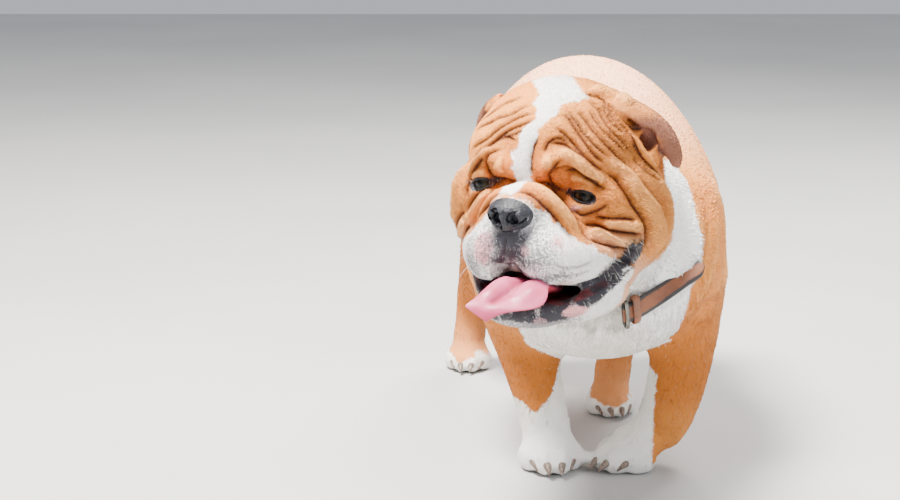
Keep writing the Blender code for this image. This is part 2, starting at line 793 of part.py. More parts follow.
def collar_band(flesh_nodes):
    """The strap round the neck, level with the surface that it lies on."""
    steps = 40
    outline = neck_outline(flesh_nodes, steps)
    half = COLLAR_AXIS * (STRAP_WIDTH / 2)
    bm = bmesh.new()
    loops = []
    for i, (outward, _) in enumerate(outline):
        even = sum(outline[(i + k) % steps][1] for k in range(-3, 4)) / 7
        inner = COLLAR_CENTRE + outward * (even - STRAP_SINK)
        outer = COLLAR_CENTRE + outward * (even + STRAP_THICKNESS)
        loops.append(ring_of(bm, [inner - half, outer - half, outer + half, inner + half]))
    bridge_all(bm, loops, closed=True)
    return seat(new_object("collar_band", bm), *flesh_nodes)


def strap_path():
    """The middle line of the strap's free end, on the dog's left."""
    return [
        Vector((0.018, -0.160, 0.212)),
        Vector((0.036, -0.153, 0.219)),
        Vector((0.060, -0.141, 0.231)),
        Vector((0.088, -0.124, 0.245)),
        Vector((0.110, -0.108, 0.255)),
    ]


def strap_end(band, flesh_nodes):
    """The free end of the strap, which sticks out past the buckle."""
    path = strap_path()
    bm = bmesh.new()
    loops = []
    for i, point in enumerate(path):
        ahead = (path[min(i + 1, len(path) - 1)] - path[max(i - 1, 0)]).normalized()
        out = ahead.cross(STRAP_TILT).normalized()
        narrowing = 0.5 if i == len(path) - 1 else 1.0
        half = STRAP_TILT * (STRAP_WIDTH / 2) * narrowing
        thick = out * (STRAP_THICKNESS / 2)
        corners = [point + half + thick, point + half - thick]
        corners += [point - half - thick, point - half + thick]
        loops.append(ring_of(bm, corners))
    bridge_all(bm, loops, closed=False)
    strap = fit_against(new_object("collar_strap_end", bm), band)
    return seat(strap, *flesh_nodes)


def frame_on_strap(name, along, width, height, thickness, straps, flesh_nodes):
    """A rounded rectangular frame that lies round the strap's free end, as a buckle or a keeper."""
    path = strap_path()
    ahead = (path[1] - path[0]).normalized()
    out = ahead.cross(STRAP_TILT).normalized()
    centre = path[0] + ahead * along
    bm = bmesh.new()
    loops = []
    steps = 16
    for i in range(steps):
        angle = 2 * math.pi * i / steps
        flat = abs(math.cos(angle)) ** 0.5 * math.copysign(1.0, math.cos(angle))
        tall = abs(math.sin(angle)) ** 0.5 * math.copysign(1.0, math.sin(angle))
        outward = (STRAP_TILT * flat + out * tall).normalized()
        middle = centre + STRAP_TILT * flat * (STRAP_WIDTH / 2 + height) + out * tall * height
        corners = []
        for k in range(6):
            turn = 2 * math.pi * k / 6
            corners.append(
                middle + outward * math.cos(turn) * thickness + ahead * math.sin(turn) * width
            )
        loops.append(ring_of(bm, corners))
    bridge_all(bm, loops, closed=True)
    return seat(fit_against(new_object(name, bm), *straps), *flesh_nodes)


def recentre(nodes):
    """Moves everything so that the origin is under the middle of the outline, on the floor."""
    corners = [vert.co for node in nodes for vert in node.data.vertices]
    low = [min(corner[axis] for corner in corners) for axis in range(3)]
    high = [max(corner[axis] for corner in corners) for axis in range(3)]
    shift = Vector((-(low[0] + high[0]) / 2, -(low[1] + high[1]) / 2, -low[2]))
    for node in nodes:
        node.data.transform(Matrix.Translation(shift))


def main():
    clear_scene()
    nodes = part_flesh(flesh())
    head = nodes["head"]
    nodes["lower_jaw"] = part_jaw(head)
    nodes["tongue"] = tongue(head, nodes["lower_jaw"])
    nodes["nose"] = nose(head)
    for eye in eyes(head):
        nodes[eye.name] = eye
    for side, sign in (("left", 1.0), ("right", -1.0)):
        nodes["ear_" + side] = ear("ear_" + side, sign, head, nodes["neck"])
    nodes["tail"] = tail(nodes["torso"])
    for name in PAWS:
        for claw in claws(name):
            boolean(nodes[name], claw, "UNION")
            remove(claw)
    flesh_nodes = [nodes[name] for name in ("neck", "torso", "head", "foreleg_left", "foreleg_right")]
    band = collar_band(flesh_nodes)
    strap = strap_end(band, flesh_nodes)
    straps = [strap, band]
    nodes["collar_band"] = band
    nodes["collar_strap_end"] = strap
    nodes["collar_buckle"] = frame_on_strap(
        "collar_buckle", 0.004, 0.0022, 0.0045, 0.0018, straps, flesh_nodes
    )
    nodes["collar_keeper"] = frame_on_strap(
        "collar_keeper", 0.016, 0.0045, 0.0042, 0.0012, straps, flesh_nodes
    )
    materials = {name: make_material(name) for name in COLOURS}
    for name, obj in nodes.items():
        obj.data.materials.clear()
        obj.data.materials.append(materials[FINISHES.get(name, "coat_tan")])
    recentre(list(nodes.values()))


main()
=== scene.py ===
"""The looks of a life-size english bulldog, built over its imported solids.

Metres, +Z up. The dog faces -Y and its left side is +X. Tables in millimetres say so. One skin is
grown from the flesh nodes, then wrinkled, marked and covered with short tufts. The file is laid
out as an add-on and is run as a script.
"""

import math

import bmesh
import bpy
import numpy as np
from mathutils import Matrix, Vector
from mathutils.bvhtree import BVHTree


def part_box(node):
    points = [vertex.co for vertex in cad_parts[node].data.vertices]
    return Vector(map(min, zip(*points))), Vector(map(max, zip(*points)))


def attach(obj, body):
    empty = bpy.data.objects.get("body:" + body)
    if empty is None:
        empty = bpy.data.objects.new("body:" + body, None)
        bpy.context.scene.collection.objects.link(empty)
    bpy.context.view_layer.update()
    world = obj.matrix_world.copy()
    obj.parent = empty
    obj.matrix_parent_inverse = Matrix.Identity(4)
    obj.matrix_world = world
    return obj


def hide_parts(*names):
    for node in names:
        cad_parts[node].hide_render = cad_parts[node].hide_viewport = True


bl_info = {
    "name": "English bulldog",
    "version": (1, 0, 0),
    "blender": (4, 5, 0),
    "location": "3D View > Sidebar > Bulldog",
    "description": "Skin, coat, face and collar of a life-size english bulldog",
    "category": "Add Mesh",
}

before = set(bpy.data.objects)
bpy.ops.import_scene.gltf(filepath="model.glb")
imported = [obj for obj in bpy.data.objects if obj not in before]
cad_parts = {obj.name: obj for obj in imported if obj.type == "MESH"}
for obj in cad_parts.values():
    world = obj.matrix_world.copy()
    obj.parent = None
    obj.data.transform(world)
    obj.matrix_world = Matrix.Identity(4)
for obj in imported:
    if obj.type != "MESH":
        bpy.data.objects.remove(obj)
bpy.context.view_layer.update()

# The head's pose in metres and degrees, as in the part's source
HEAD_PLACE = Vector((-0.0785, -0.214, 0.357))
HEAD_YAW = -28.0
HEAD_ROLL = -2.0
EYE_CENTRE = Vector((0.0555, 0.008, 0.000))
EYE_TILT = 0.004
FACE_OFFSET = 0.0025
NOSE_CENTRE = Vector((-0.002, -0.056, -0.0175))
NOSE_RADII = Vector((0.0235, 0.017, 0.0155))
EYE_RADIUS = 0.0130

# Camera, in the part's frame before its last centring. Its angles are in radians.
CAMERA_PLACE = Vector((-0.163, -2.351, 0.718))
CAMERA_YAW = -0.001
CAMERA_PITCH = 0.196
CAMERA_LENS = 84.64
CAMERA_SENSOR = 36.0

# Widths of a roll beside the radius of its crease, and of a ridge beside its own
ROLL_WIDTH = 3.0
RIDGE_WIDTH = 2.6
# How far the skin beside a crease draws in towards it
PINCH = 0.30
# The share of a fold's length over which it dies out at each end, and what is left of it there
FADE_LENGTH = 0.18
FADE_REST = 0.15

# Half widths of the painted shade line in a crease and of the painted shade round it, in metres, and the
# depth in millimetres from which a crease has its full painted shade
CREASE_LINE = 0.0017
CREASE_SHADE_REACH = 0.0048
DEEP_CREASE = 5.0

# How far the head reaches back and down from the eyes, and how far back its skin keeps all its
# points, in millimetres
HEAD_BACK = 122.0
HEAD_BOTTOM = -155.0
FINE_BACK = 84.0
# How far the skin of the head lies under the tips of its hair, in metres
FACE_COAT_DEPTH = 0.0004
# The fewest triangles for the skin that is thinned out
PLAIN_TRIANGLES = 24000

# Colours of small things, which the panel doesn't list
# Painted shade beside the creases, on tan and on white
TAN_FOLD_SHADE = (0.27, 0.058, 0.008)
WHITE_FOLD_SHADE = (0.30, 0.22, 0.21)
HAIR_LIGHT = (1.0, 0.90, 0.78)
HAIR_DARK = (0.18, 0.07, 0.025)
IRIS_STREAKS = (0.034, 0.031, 0.018)
IRIS_EDGE = (0.010, 0.007, 0.006)
PUPIL = (0.002, 0.002, 0.002)
EYE_WHITE = (0.22, 0.17, 0.15)
EYE_VEINS = (0.16, 0.07, 0.06)
LID_DARK = (0.006, 0.005, 0.006)
LID_LIGHT = (0.024, 0.017, 0.016)
NOSE_DARK = (0.007, 0.008, 0.011)
NOSE_LIGHT = (0.032, 0.034, 0.044)
NOSE_FRECKLES = (0.110, 0.114, 0.135)
# Painted shade in the nostrils
NOSTRIL_SHADE = (0.004, 0.003, 0.003)
TONGUE_LIGHT = (0.53, 0.095, 0.190)
# Painted shade in the tongue's groove
TONGUE_GROOVE_SHADE = (0.30, 0.035, 0.070)
# Painted shade on the underside of the tongue and at its back in the mouth
TONGUE_SHADE = (0.42, 0.050, 0.070)
CLAW_DARK = (0.10, 0.075, 0.060)
CLAW_LIGHT = (0.30, 0.22, 0.17)
WHISKER_LIGHT = (0.85, 0.82, 0.76)
WHISKER_DARK = (0.10, 0.08, 0.07)
LEATHER_DARK = (0.17, 0.055, 0.024)
LEATHER_WORN = (0.45, 0.20, 0.09)
LEATHER_RIM = (0.030, 0.026, 0.024)
METAL_LIGHT = (0.20, 0.19, 0.17)
METAL_DARK = (0.09, 0.08, 0.07)
FLOOR_DARK = (0.46, 0.46, 0.455)
FLOOR_LIGHT = (0.50, 0.50, 0.49)
SKY = (0.86, 0.90, 1.0)
SKY_STRENGTH = 0.62

# Each light's place, size, power and colour, and where they all point
LIGHTS = {
    "key": ((-0.8, -0.5, 2.7), 0.9, 470.0, (1.0, 0.96, 0.90)),
    "fill": ((1.6, -2.2, 1.5), 1.8, 40.0, (0.94, 0.97, 1.0)),
    "back": ((0.8, 1.6, 2.3), 1.2, 130.0, (1.0, 0.98, 0.95)),
}
LIGHT_TARGET = Vector((0.0, -0.1, 0.25))
FLOOR_HALF = 6.0

BODY_NODES = [
    "torso", "neck", "foreleg_left", "foreleg_right", "hindleg_left", "hindleg_right", "tail",
]
PAW_NODES = ["forepaw_left", "forepaw_right", "hindpaw_left", "hindpaw_right"]
HEAD_NODES = ["head", "lower_jaw", "ear_left", "ear_right", "nose", "eye_left", "eye_right"]
SKIN_NODES = BODY_NODES + PAW_NODES + HEAD_NODES[:4]


def box_centre(node):
    """The middle of a node's bounding box."""
    low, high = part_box(node)
    return (low + high) / 2


def eye_place(sign):
    """The left eye sits a little lower than the right, and both lie off to the right."""
    x, y, z = EYE_CENTRE
    return Vector((sign * x - FACE_OFFSET, y, z - sign * EYE_TILT))


def head_frame():
    """The head's own frame: its origin lies between the eyes, -Y to the nose, +Z to the crown."""
    yaw = Matrix.Rotation(math.radians(HEAD_YAW), 4, "Z")
    roll = Matrix.Rotation(math.radians(HEAD_ROLL), 4, "Y")
    turn = yaw @ roll
    place = box_centre("eye_left") - turn.to_3x3() @ eye_place(1.0)
    return Matrix.Translation(place) @ turn


HEAD = head_frame()
SHIFT = HEAD.translation - HEAD_PLACE
# From millimetres in the head's frame, and in the part's frame before its last centring, to the model
HEAD_TABLES = HEAD @ Matrix.Scale(0.001, 4)
BODY_TABLES = Matrix.Translation(SHIFT) @ Matrix.Scale(0.001, 4)


def both_sides(height, radius, route):
    """The same fold on the left and on the right of the head."""
    return [(height, radius, route), (height, radius, [(-x, y, z) for x, y, z in route])]


# Wrinkles of the head. Each is a height, a radius and points in the head's frame, all in millimetres.
# A negative height is a crease.
FACE_FOLDS = [
    # The roll over the nose and down both sides of the muzzle
    (-7.5, 2.6, [
        (1, -10, 10), (18, -6, 7), (30, -6, -2), (44, -13, -12),
        (56, -17, -26), (66, -19, -41), (73, -20, -50),
    ]),
    (5.5, 5.0, [
        (-15, -29, 8), (5, -29, 9), (22, -33, 4), (36, -33, -5),
        (46, -30, -16), (55, -27, -28), (64, -25, -42),
    ]),
    (-6.0, 2.2, [
        (0, -49, 6), (14, -46, 4), (29, -44, -7),
        (39, -38, -20), (52, -35, -36), (63, -32, -46),
    ]),
    (-7.5, 2.6, [
        (-22, -8, 8), (-39, -4, 5), (-54, -4, 0),
        (-65, -3, -9), (-74, -2, -20), (-80, 1, -30),
    ]),
    (5.5, 5.0, [
        (-22, -28, 6), (-36, -20, 2), (-49, -12, -5),
        (-62, -8, -15), (-74, -4, -28), (-84, 2, -42),
    ]),
    (-6.0, 2.2, [(-13, -49, 4), (-31, -42, -9), (-49, -31, -24), (-64, -20, -38), (-74, -8, -46)]),
    # Cheek rolls beside the muzzle
    (6.5, 5.2, [(76, 2, -33), (87, 4, -30), (99, 13, -33), (108, 24, -39)]),
    (-8.5, 2.6, [(59, -10, -30), (72, 1, -35), (86, 5, -40), (100, 15, -43), (109, 27, -46)]),
    (7.5, 5.8, [(64, -12, -38), (73, -2, -43), (86, 5, -48), (99, 17, -52), (106, 28, -58)]),
    (-8.0, 2.6, [(66, -18, -45), (80, -8, -51), (89, 8, -57), (98, 20, -62), (105, 30, -68)]),
    (-7.0, 2.4, [(66, -8, -26), (80, -2, -27), (94, 8, -27), (104, 18, -30)]),
    # The long fold down the cheek, and the one behind it
    (10.0, 7.2, [
        (76, 8, 32), (86, 18, 24), (93, 24, 12), (102, 25, 0), (111, 33, -12),
        (115, 41, -27), (116, 48, -43), (113, 54, -59), (108, 55, -72),
    ]),
    (-10.0, 3.0, [
        (74, 4, 22), (84, 11, 15), (93, 11, 4), (101, 16, -12),
        (107, 23, -25), (110, 29, -37), (109, 33, -54), (104, 36, -69),
    ]),
    (-8.0, 2.8, [
        (90, 27, 26), (99, 32, 13), (110, 39, -6), (118, 52, -27),
        (118, 61, -46), (113, 66, -62), (105, 70, -80),
    ]),
    (5.0, 6.5, [
        (104, 50, 22), (110, 60, 4), (118, 74, -16), (120, 80, -38),
        (115, 80, -60), (105, 80, -80), (90, 78, -96),
    ]),
    (-5.0, 3.0, [(110, 74, 12), (116, 88, -12), (115, 94, -38), (107, 94, -64), (95, 92, -86)]),
    # Brow: the fold over the eye, the ball beside the blaze and the creases round them
    (7.0, 5.6, [(34, -16, 43), (46, -14, 39), (57, -8, 29), (68, 0, 17), (78, 3, 8)]),
    (-8.5, 2.6, [
        (22, -12, 15), (30, -12, 24), (40, -11, 28), (51, -7, 23),
        (60, -2, 15), (70, 0, 8), (80, 5, 1),
    ]),
    (-4.5, 2.3, [(22, -14, 50), (38, -10, 49), (52, -9, 42), (66, -4, 31), (77, 4, 18)]),
    (4.5, 7.5, [(20, -18, 30), (30, -18, 32)]),
    (-5.0, 2.2, [(38, -15, 35), (31, -17, 27), (24, -15, 19), (22, -8, 9), (29, -2, 2), (36, 0, 0)]),
    (-3.4, 3.0, [(13, -16, 56), (8, -17, 44), (5, -16, 31), (3, -13, 17)]),
    # Forehead, left
    (-4.6, 2.2, [(28, 2, 79), (37, 3, 75), (47, 1, 63), (57, -1, 51), (67, -1, 39), (78, 6, 27)]),
    (-4.2, 2.2, [(26, -8, 66), (36, -7, 60), (45, -5, 51), (55, -6, 42), (64, -5, 32), (74, 1, 21)]),
    (-4.4, 2.4, [
        (40, 12, 84), (52, 12, 73), (64, 9, 60), (75, 10, 49),
        (84, 17, 37), (92, 26, 25), (99, 34, 12),
    ]),
    (-4.2, 2.4, [(46, 30, 92), (58, 31, 81), (68, 26, 70), (78, 24, 58), (88, 33, 46), (97, 44, 34)]),
    (-3.2, 2.0, [(19, -16, 40), (24, -14, 51), (33, -10, 55), (42, -7, 50)]),
    (-2.8, 2.0, [(34, 8, 82), (46, 6, 69), (57, 3, 57), (68, 3, 46), (79, 10, 34)]),
    (-2.6, 2.0, [(52, 22, 82), (62, 18, 71), (72, 16, 60), (82, 22, 48), (91, 32, 37)]),
    # Crown and the root of the left ear
    (5.5, 7.0, [(42, 50, 96), (56, 62, 97), (70, 66, 93), (84, 60, 82)]),
    (-5.5, 2.6, [(40, 36, 92), (50, 44, 92), (60, 46, 88), (70, 42, 80), (76, 38, 70)]),
    (-4.0, 2.6, [(86, 44, 62), (92, 44, 48), (96, 45, 32), (100, 50, 14), (104, 58, 0)]),
    (-3.4, 2.2, [(60, 40, 86), (68, 34, 77), (76, 32, 66), (84, 38, 56)]),
    # Forehead, right
    (-4.6, 2.2, [
        (8, -10, 73), (-8, -13, 67), (-26, -12, 59),
        (-43, -7, 48), (-56, -5, 38), (-68, 2, 26),
    ]),
    (-4.4, 2.2, [(6, -4, 79), (-9, -7, 76), (-25, -9, 68), (-42, -5, 58), (-56, -1, 47), (-70, 8, 36)]),
    (-4.0, 2.3, [(-2, 4, 87), (-13, 2, 83), (-24, -3, 77), (-40, 4, 71), (-56, 12, 62), (-70, 20, 50)]),
    (-3.6, 2.3, [
        (-16, 16, 92), (-28, 16, 89), (-42, 18, 82),
        (-56, 22, 72), (-70, 30, 60), (-82, 40, 46),
    ]),
    (-2.8, 2.0, [(-4, -16, 62), (-18, -15, 57), (-32, -12, 55)]),
    # Brow, right
    (5.5, 8.0, [(-33, -16, 28), (-26, -18, 25)]),
    (-6.0, 2.4, [
        (-28, -17, 43), (-40, -15, 40), (-48, -13, 31), (-50, -6, 20),
        (-44, -3, 10), (-27, -4, 8), (-16, -9, 10),
    ]),
    (-4.4, 2.3, [(-9, -17, 51), (-23, -14, 54), (-38, -10, 50), (-52, -9, 41), (-64, -3, 29)]),
    (4.0, 5.0, [(-44, -14, 46), (-58, -8, 35), (-68, -2, 23), (-78, 4, 11)]),
    (-6.0, 2.4, [(-50, -13, 34), (-62, -6, 24), (-72, 0, 12), (-77, 2, -2), (-76, 0, -14)]),
    (5.0, 6.0, [(-80, 12, 26), (-90, 14, 10), (-95, 16, -8), (-96, 20, -26), (-92, 26, -44)]),
    (-6.0, 2.6, [(-94, 28, 20), (-104, 34, -2), (-108, 44, -28), (-106, 56, -52), (-98, 64, -72)]),
    (4.5, 4.8, [(-82, 2, -38), (-90, 8, -47), (-92, 18, -56)]),
    (-5.5, 2.6, [(-76, 2, -40), (-86, 8, -54), (-90, 20, -64)]),
    (-5.0, 2.4, [(-80, 6, -26), (-90, 12, -34), (-97, 22, -46)]),
    # Ears: the folded edge, the hole before it and the knots of skin at its root
    *both_sides(-8.0, 2.4, [
        (76, 48, 68), (84, 61, 60), (95, 70, 56), (101, 78, 46),
        (108, 78, 33), (111, 87, 21), (113, 97, 11),
    ]),
    *both_sides(-4.0, 1.8, [(78, 40, 66), (86, 46, 58), (92, 53, 50), (97, 60, 42)]),
    (-3.0, 1.8, [(68, 42, 78), (74, 38, 72), (78, 40, 66)]),
    *both_sides(-3.0, 1.8, [(86, 50, 48), (94, 52, 36), (102, 60, 20), (107, 74, 6)]),
    # Lips: streaks on the left flew, the groove under the nose
    (-2.4, 2.0, [(40, -56, -62), (54, -50, -69), (66, -38, -70), (76, -24, -66)]),
    (-2.2, 2.0, [(36, -58, -72), (50, -52, -79), (64, -40, -80), (76, -24, -76)]),
    (-4.0, 1.8, [(0, -70, -36), (-2, -68, -48), (-5, -64, -60), (-9, -60, -70)]),
    # Bags under the eyes
    (2.6, 4.2, [(42, -8, -14), (56, -5, -16), (70, 1, -11)]),
    (-3.4, 2.0, [(38, -12, -19), (54, -8, -23), (70, -1, -18), (80, 6, -10)]),
    (2.6, 4.2, [(-48, -6, -8), (-60, -3, -9), (-72, 3, -6)]),
    (4.4, 4.0, [(42, -11, 12), (56, -7, 13), (68, 0, 8)]),
    (-5.0, 2.0, [(38, -12, 17), (50, -9, 20), (62, -3, 17), (72, 3, 9)]),
    (2.4, 4.0, [(-50, -8, 16), (-62, -3, 15), (-72, 3, 8)]),
]

# Wrinkles and muscles of the body in the same way, in the part's frame before its last centring
BODY_FOLDS = [
    (3.0, 12.0, [(104, -60, 330), (112, -90, 296), (100, -112, 262), (70, -140, 232), (20, -160, 212)]),
    (-3.4, 6.0, [(112, -40, 322), (120, -66, 290), (112, -92, 252), (84, -120, 220), (30, -146, 198)]),
    (2.4, 12.0, [(120, -22, 300), (128, -50, 262), (118, -76, 226), (92, -104, 192)]),
    (-4.0, 6.0, [(146, 30, 176), (130, -20, 170), (108, -46, 160), (84, -50, 142)]),
    (-3.0, 6.0, [(152, 20, 205), (140, -22, 196), (120, -52, 184)]),
    (-3.0, 6.0, [(-140, 20, 176), (-122, -20, 168), (-100, -44, 158)]),
    (-1.8, 5.0, [(60, -30, 92), (72, -34, 84), (86, -26, 84)]),
    (-1.8, 5.0, [(62, -30, 62), (72, -34, 52), (84, -28, 50)]),
    (-1.6, 5.0, [(-78, -30, 58), (-62, -38, 54), (-44, -34, 56)]),
    (2.0, 12.0, [(118, 50, 110), (124, 48, 140), (130, 40, 170)]),
    (-2.6, 8.0, [(120, 250, 250), (126, 260, 220), (122, 262, 190)]),
    # Muscles of the shoulders and thighs
    (4.0, 26.0, [(112, 10, 330), (124, 24, 290), (130, 30, 240), (128, 26, 200)]),
    (4.0, 26.0, [(-112, 20, 330), (-124, 34, 290), (-130, 40, 240), (-126, 36, 200)]),
    (4.5, 30.0, [(112, 300, 330), (120, 330, 290), (116, 350, 240), (104, 330, 190)]),
    (4.5, 30.0, [(-112, 320, 330), (-122, 350, 290), (-122, 380, 240), (-126, 400, 190)]),
    (3.0, 24.0, [(118, 110, 310), (124, 150, 270), (120, 200, 240)]),
    (3.0, 24.0, [(-118, 120, 310), (-124, 160, 270), (-120, 210, 240)]),
    (-2.6, 8.0, [(-120, 250, 250), (-126, 262, 220), (-122, 270, 190)]),
]


def props_of(name):
    """One group of the scene's settings."""
    return getattr(bpy.context.scene, name)


# Small helpers for meshes


def apply_modifiers(obj):
    """Makes the shape that an object's modifiers give it its own mesh."""
    bpy.context.view_layer.update()
    graph = bpy.context.evaluated_depsgraph_get()
    mesh = bpy.data.meshes.new_from_object(obj.evaluated_get(graph), depsgraph=graph)
    obj.modifiers.clear()
    obj.data = mesh
    return obj


def add_object(name, data):
    obj = bpy.data.objects.new(name, data)
    bpy.context.scene.collection.objects.link(obj)
    return obj


def object_from(name, bm, recalculate=True):
    if recalculate:
        bmesh.ops.recalc_face_normals(bm, faces=bm.faces)
    mesh = bpy.data.meshes.new(name)
    bm.to_mesh(mesh)
    bm.free()
    return add_object(name, mesh)


def remesh(obj, voxel, passes):
    """One closed surface with its points at even distances, made smoother in some passes."""
    skin = obj.modifiers.new("skin", "REMESH")
    skin.mode = "VOXEL"
    skin.voxel_size = voxel
    relax = obj.modifiers.new("relax", "SMOOTH")
    relax.factor = 0.5
    relax.iterations = passes
    return apply_modifiers(obj)


def copy_of_nodes(name, nodes, grow):
    """The named nodes in one mesh, with their seams closed by growing each a little."""
    bm = bmesh.new()
    for node in nodes:
        bm.from_mesh(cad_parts[node].data)
    bmesh.ops.remove_doubles(bm, verts=bm.verts, dist=1e-6)
    obj = object_from(name, bm, recalculate=False)
    push = obj.modifiers.new("push", "DISPLACE")
    push.strength = grow
    push.mid_level = 0.0
    return apply_modifiers(obj)


def shade_smooth(obj):
    obj.data.polygons.foreach_set("use_smooth", [True] * len(obj.data.polygons))
    obj.data.update()


def finish_piece(obj, material, slot, *nodes):
    """Gives a piece its finish and its place in the part."""
    obj.data.materials.clear()
    obj.data.materials.append(material)
    shade_smooth(obj)
    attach(obj, "root")
    if nodes:
        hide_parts(*nodes)


def read_rows(items, name, width, kind):
    """One property of every item, as the rows of an array."""
    flat = np.empty(len(items) * width, kind)
    items.foreach_get(name, flat)
    return flat.reshape(-1, width)


def points_of(mesh):
    return read_rows(mesh.vertices, "co", 3, np.float32).astype(float)


def normals_of(mesh):
    return read_rows(mesh.vertex_normals, "vector", 3, np.float32).astype(float)


def set_points(mesh, points):
    mesh.vertices.foreach_set("co", points.astype(np.float32).ravel())
    mesh.update()


def in_frame(matrix, points):
    """Points of the model as seen from another frame."""
    inverse = np.array(matrix.inverted())
    return points @ inverse[:3, :3].T + inverse[:3, 3]


def bridge_rings(bm, loops, closed_path):
    """Joins each loop of edges to the next one, and closes the path or its ends."""
    following = loops[1:] + loops[:1] if closed_path else loops[1:]
    for first, second in zip(loops, following):
        bmesh.ops.bridge_loops(bm, edges=first + second)
    if not closed_path:
        ends = [edge for edge in bm.edges if edge.is_boundary]
        bmesh.ops.holes_fill(bm, edges=ends, sides=0)


def rings_loft(rings, sides, levels=0, closed_path=False):
    """A tube through rings of (centre, half width vector, half height vector)."""
    bm = bmesh.new()
    loops = []
    for centre, across, up in rings:
        across, up = Vector(across), Vector(up)
        ahead = across.cross(up).normalized()
        axes = Matrix((across, up, ahead)).transposed().to_4x4()
        place = Matrix.Translation(centre) @ axes
        made = bmesh.ops.create_circle(bm, segments=sides, radius=1.0, matrix=place)
        verts = set(made["verts"])
        loops.append([e for e in bm.edges if e.verts[0] in verts and e.verts[1] in verts])
    bridge_rings(bm, loops, closed_path)
    obj = object_from("tube", bm)
    if levels:
        smooth = obj.modifiers.new("round", "SUBSURF")
        smooth.levels = smooth.render_levels = levels
        apply_modifiers(obj)
    return obj


def tube(path, radii, sides, closed_path=False):
    """A round tube along a path, with one radius for each point."""
    path = [Vector(point) for point in path]
    rings = []
    side = None
    for i, point in enumerate(path):
        before = path[i - 1] if i or closed_path else point
        after = path[(i + 1) % len(path)] if i + 1 < len(path) or closed_path else point
        ahead = (after - before).normalized()
        if side is None:
            side = ahead.orthogonal().normalized()
        side = (side - ahead * side.dot(ahead)).normalized()
        up = ahead.cross(side)
        rings.append((point, side * radii[i], up * radii[i]))
    return rings_loft(rings, sides, closed_path=closed_path)


def join(name, pieces):
    """One object in place of several."""
    bm = bmesh.new()
    for piece in pieces:
        bm.from_mesh(piece.data)
        bpy.data.objects.remove(piece)
    return object_from(name, bm, recalculate=False)


# Materials


class Graph:
    """Short names for building a material's nodes."""

    def __init__(self, name):
        self.material = bpy.data.materials.new(name)
        self.material.use_nodes = True
        self.tree = self.material.node_tree
        self.shader = self.tree.nodes["Principled BSDF"]
        self.where = self.tree.nodes.new("ShaderNodeTexCoord").outputs["Object"]

    def put(self, value, socket):
        """Links a socket to a socket, or gives it a constant value."""
        if isinstance(value, bpy.types.NodeSocket):
            self.tree.links.new(value, socket)
        elif socket.type == "RGBA":
            socket.default_value = (*value[:3], 1.0)
        else:
            socket.default_value = value

    def set(self, **values):
        """Values of the shader's own sockets, with _ for each space in a name."""
        for name, value in values.items():
            self.put(value, self.shader.inputs[name.replace("_", " ")])

    def node(self, kind, **values):
        node = self.tree.nodes.new(kind)
        for name, value in values.items():
            self.put(value, node.inputs[name.replace("_", " ")])
        return node

    def attribute(self, name):
        node = self.node("ShaderNodeAttribute")
        node.attribute_name = name
        return node.outputs["Fac"]

    def noise(self, scale, detail=3.0, roughness=0.5, stretch=None):
        where = self.where
        if stretch:
            where = self.node("ShaderNodeMapping", Scale=stretch, Vector=self.where).outputs["Vector"]
        node = self.node(
            "ShaderNodeTexNoise", Vector=where, Scale=scale, Detail=detail, Roughness=roughness,
        )
        return node.outputs["Fac"]

    def cells(self, scale):
        return self.node("ShaderNodeTexVoronoi", Vector=self.where, Scale=scale).outputs["Distance"]

    def math(self, operation, a, b):
        node = self.node("ShaderNodeMath")
        node.operation = operation
        self.put(a, node.inputs[0])
        self.put(b, node.inputs[1])
        return node.outputs[0]

    def remap(self, value, low, high, to_low=0.0, to_high=1.0):
        """From to_low to to_high, with a soft start and end, while a value goes from low to high."""
        node = self.node("ShaderNodeMapRange")
        node.interpolation_type = "SMOOTHSTEP"
        names = ("Value", "From Min", "From Max", "To Min", "To Max")
        for name, number in zip(names, (value, low, high, to_low, to_high)):
            self.put(number, node.inputs[name])
        return node.outputs["Result"]

    def mix(self, factor, a, b):
        node = self.node("ShaderNodeMix")
        node.data_type = "RGBA"
        self.put(factor, node.inputs[0])
        self.put(a, node.inputs[6])
        self.put(b, node.inputs[7])
        return node.outputs[2]

    def between(self, value, low, high, a, b):
        """From one colour to another while a value goes from low to high."""
        return self.mix(self.remap(value, low, high), a, b)

    def bump(self, height, strength, distance, onto=None):
        node = self.node("ShaderNodeBump", Height=height, Strength=strength, Distance=distance)
        if onto is not None:
            self.put(onto, node.inputs["Normal"])
        return node.outputs["Normal"]


def edge_mask(graph, name, noise, reach, width=0.06):
    """A marking's own mask: its field, with the edge broken up by noise."""
    wander = graph.math("MULTIPLY", graph.math("SUBTRACT", noise, 0.5), reach)
    field = graph.math("ADD", graph.attribute(name), wander)
    return graph.remap(field, 0.5 - width, 0.5 + width)


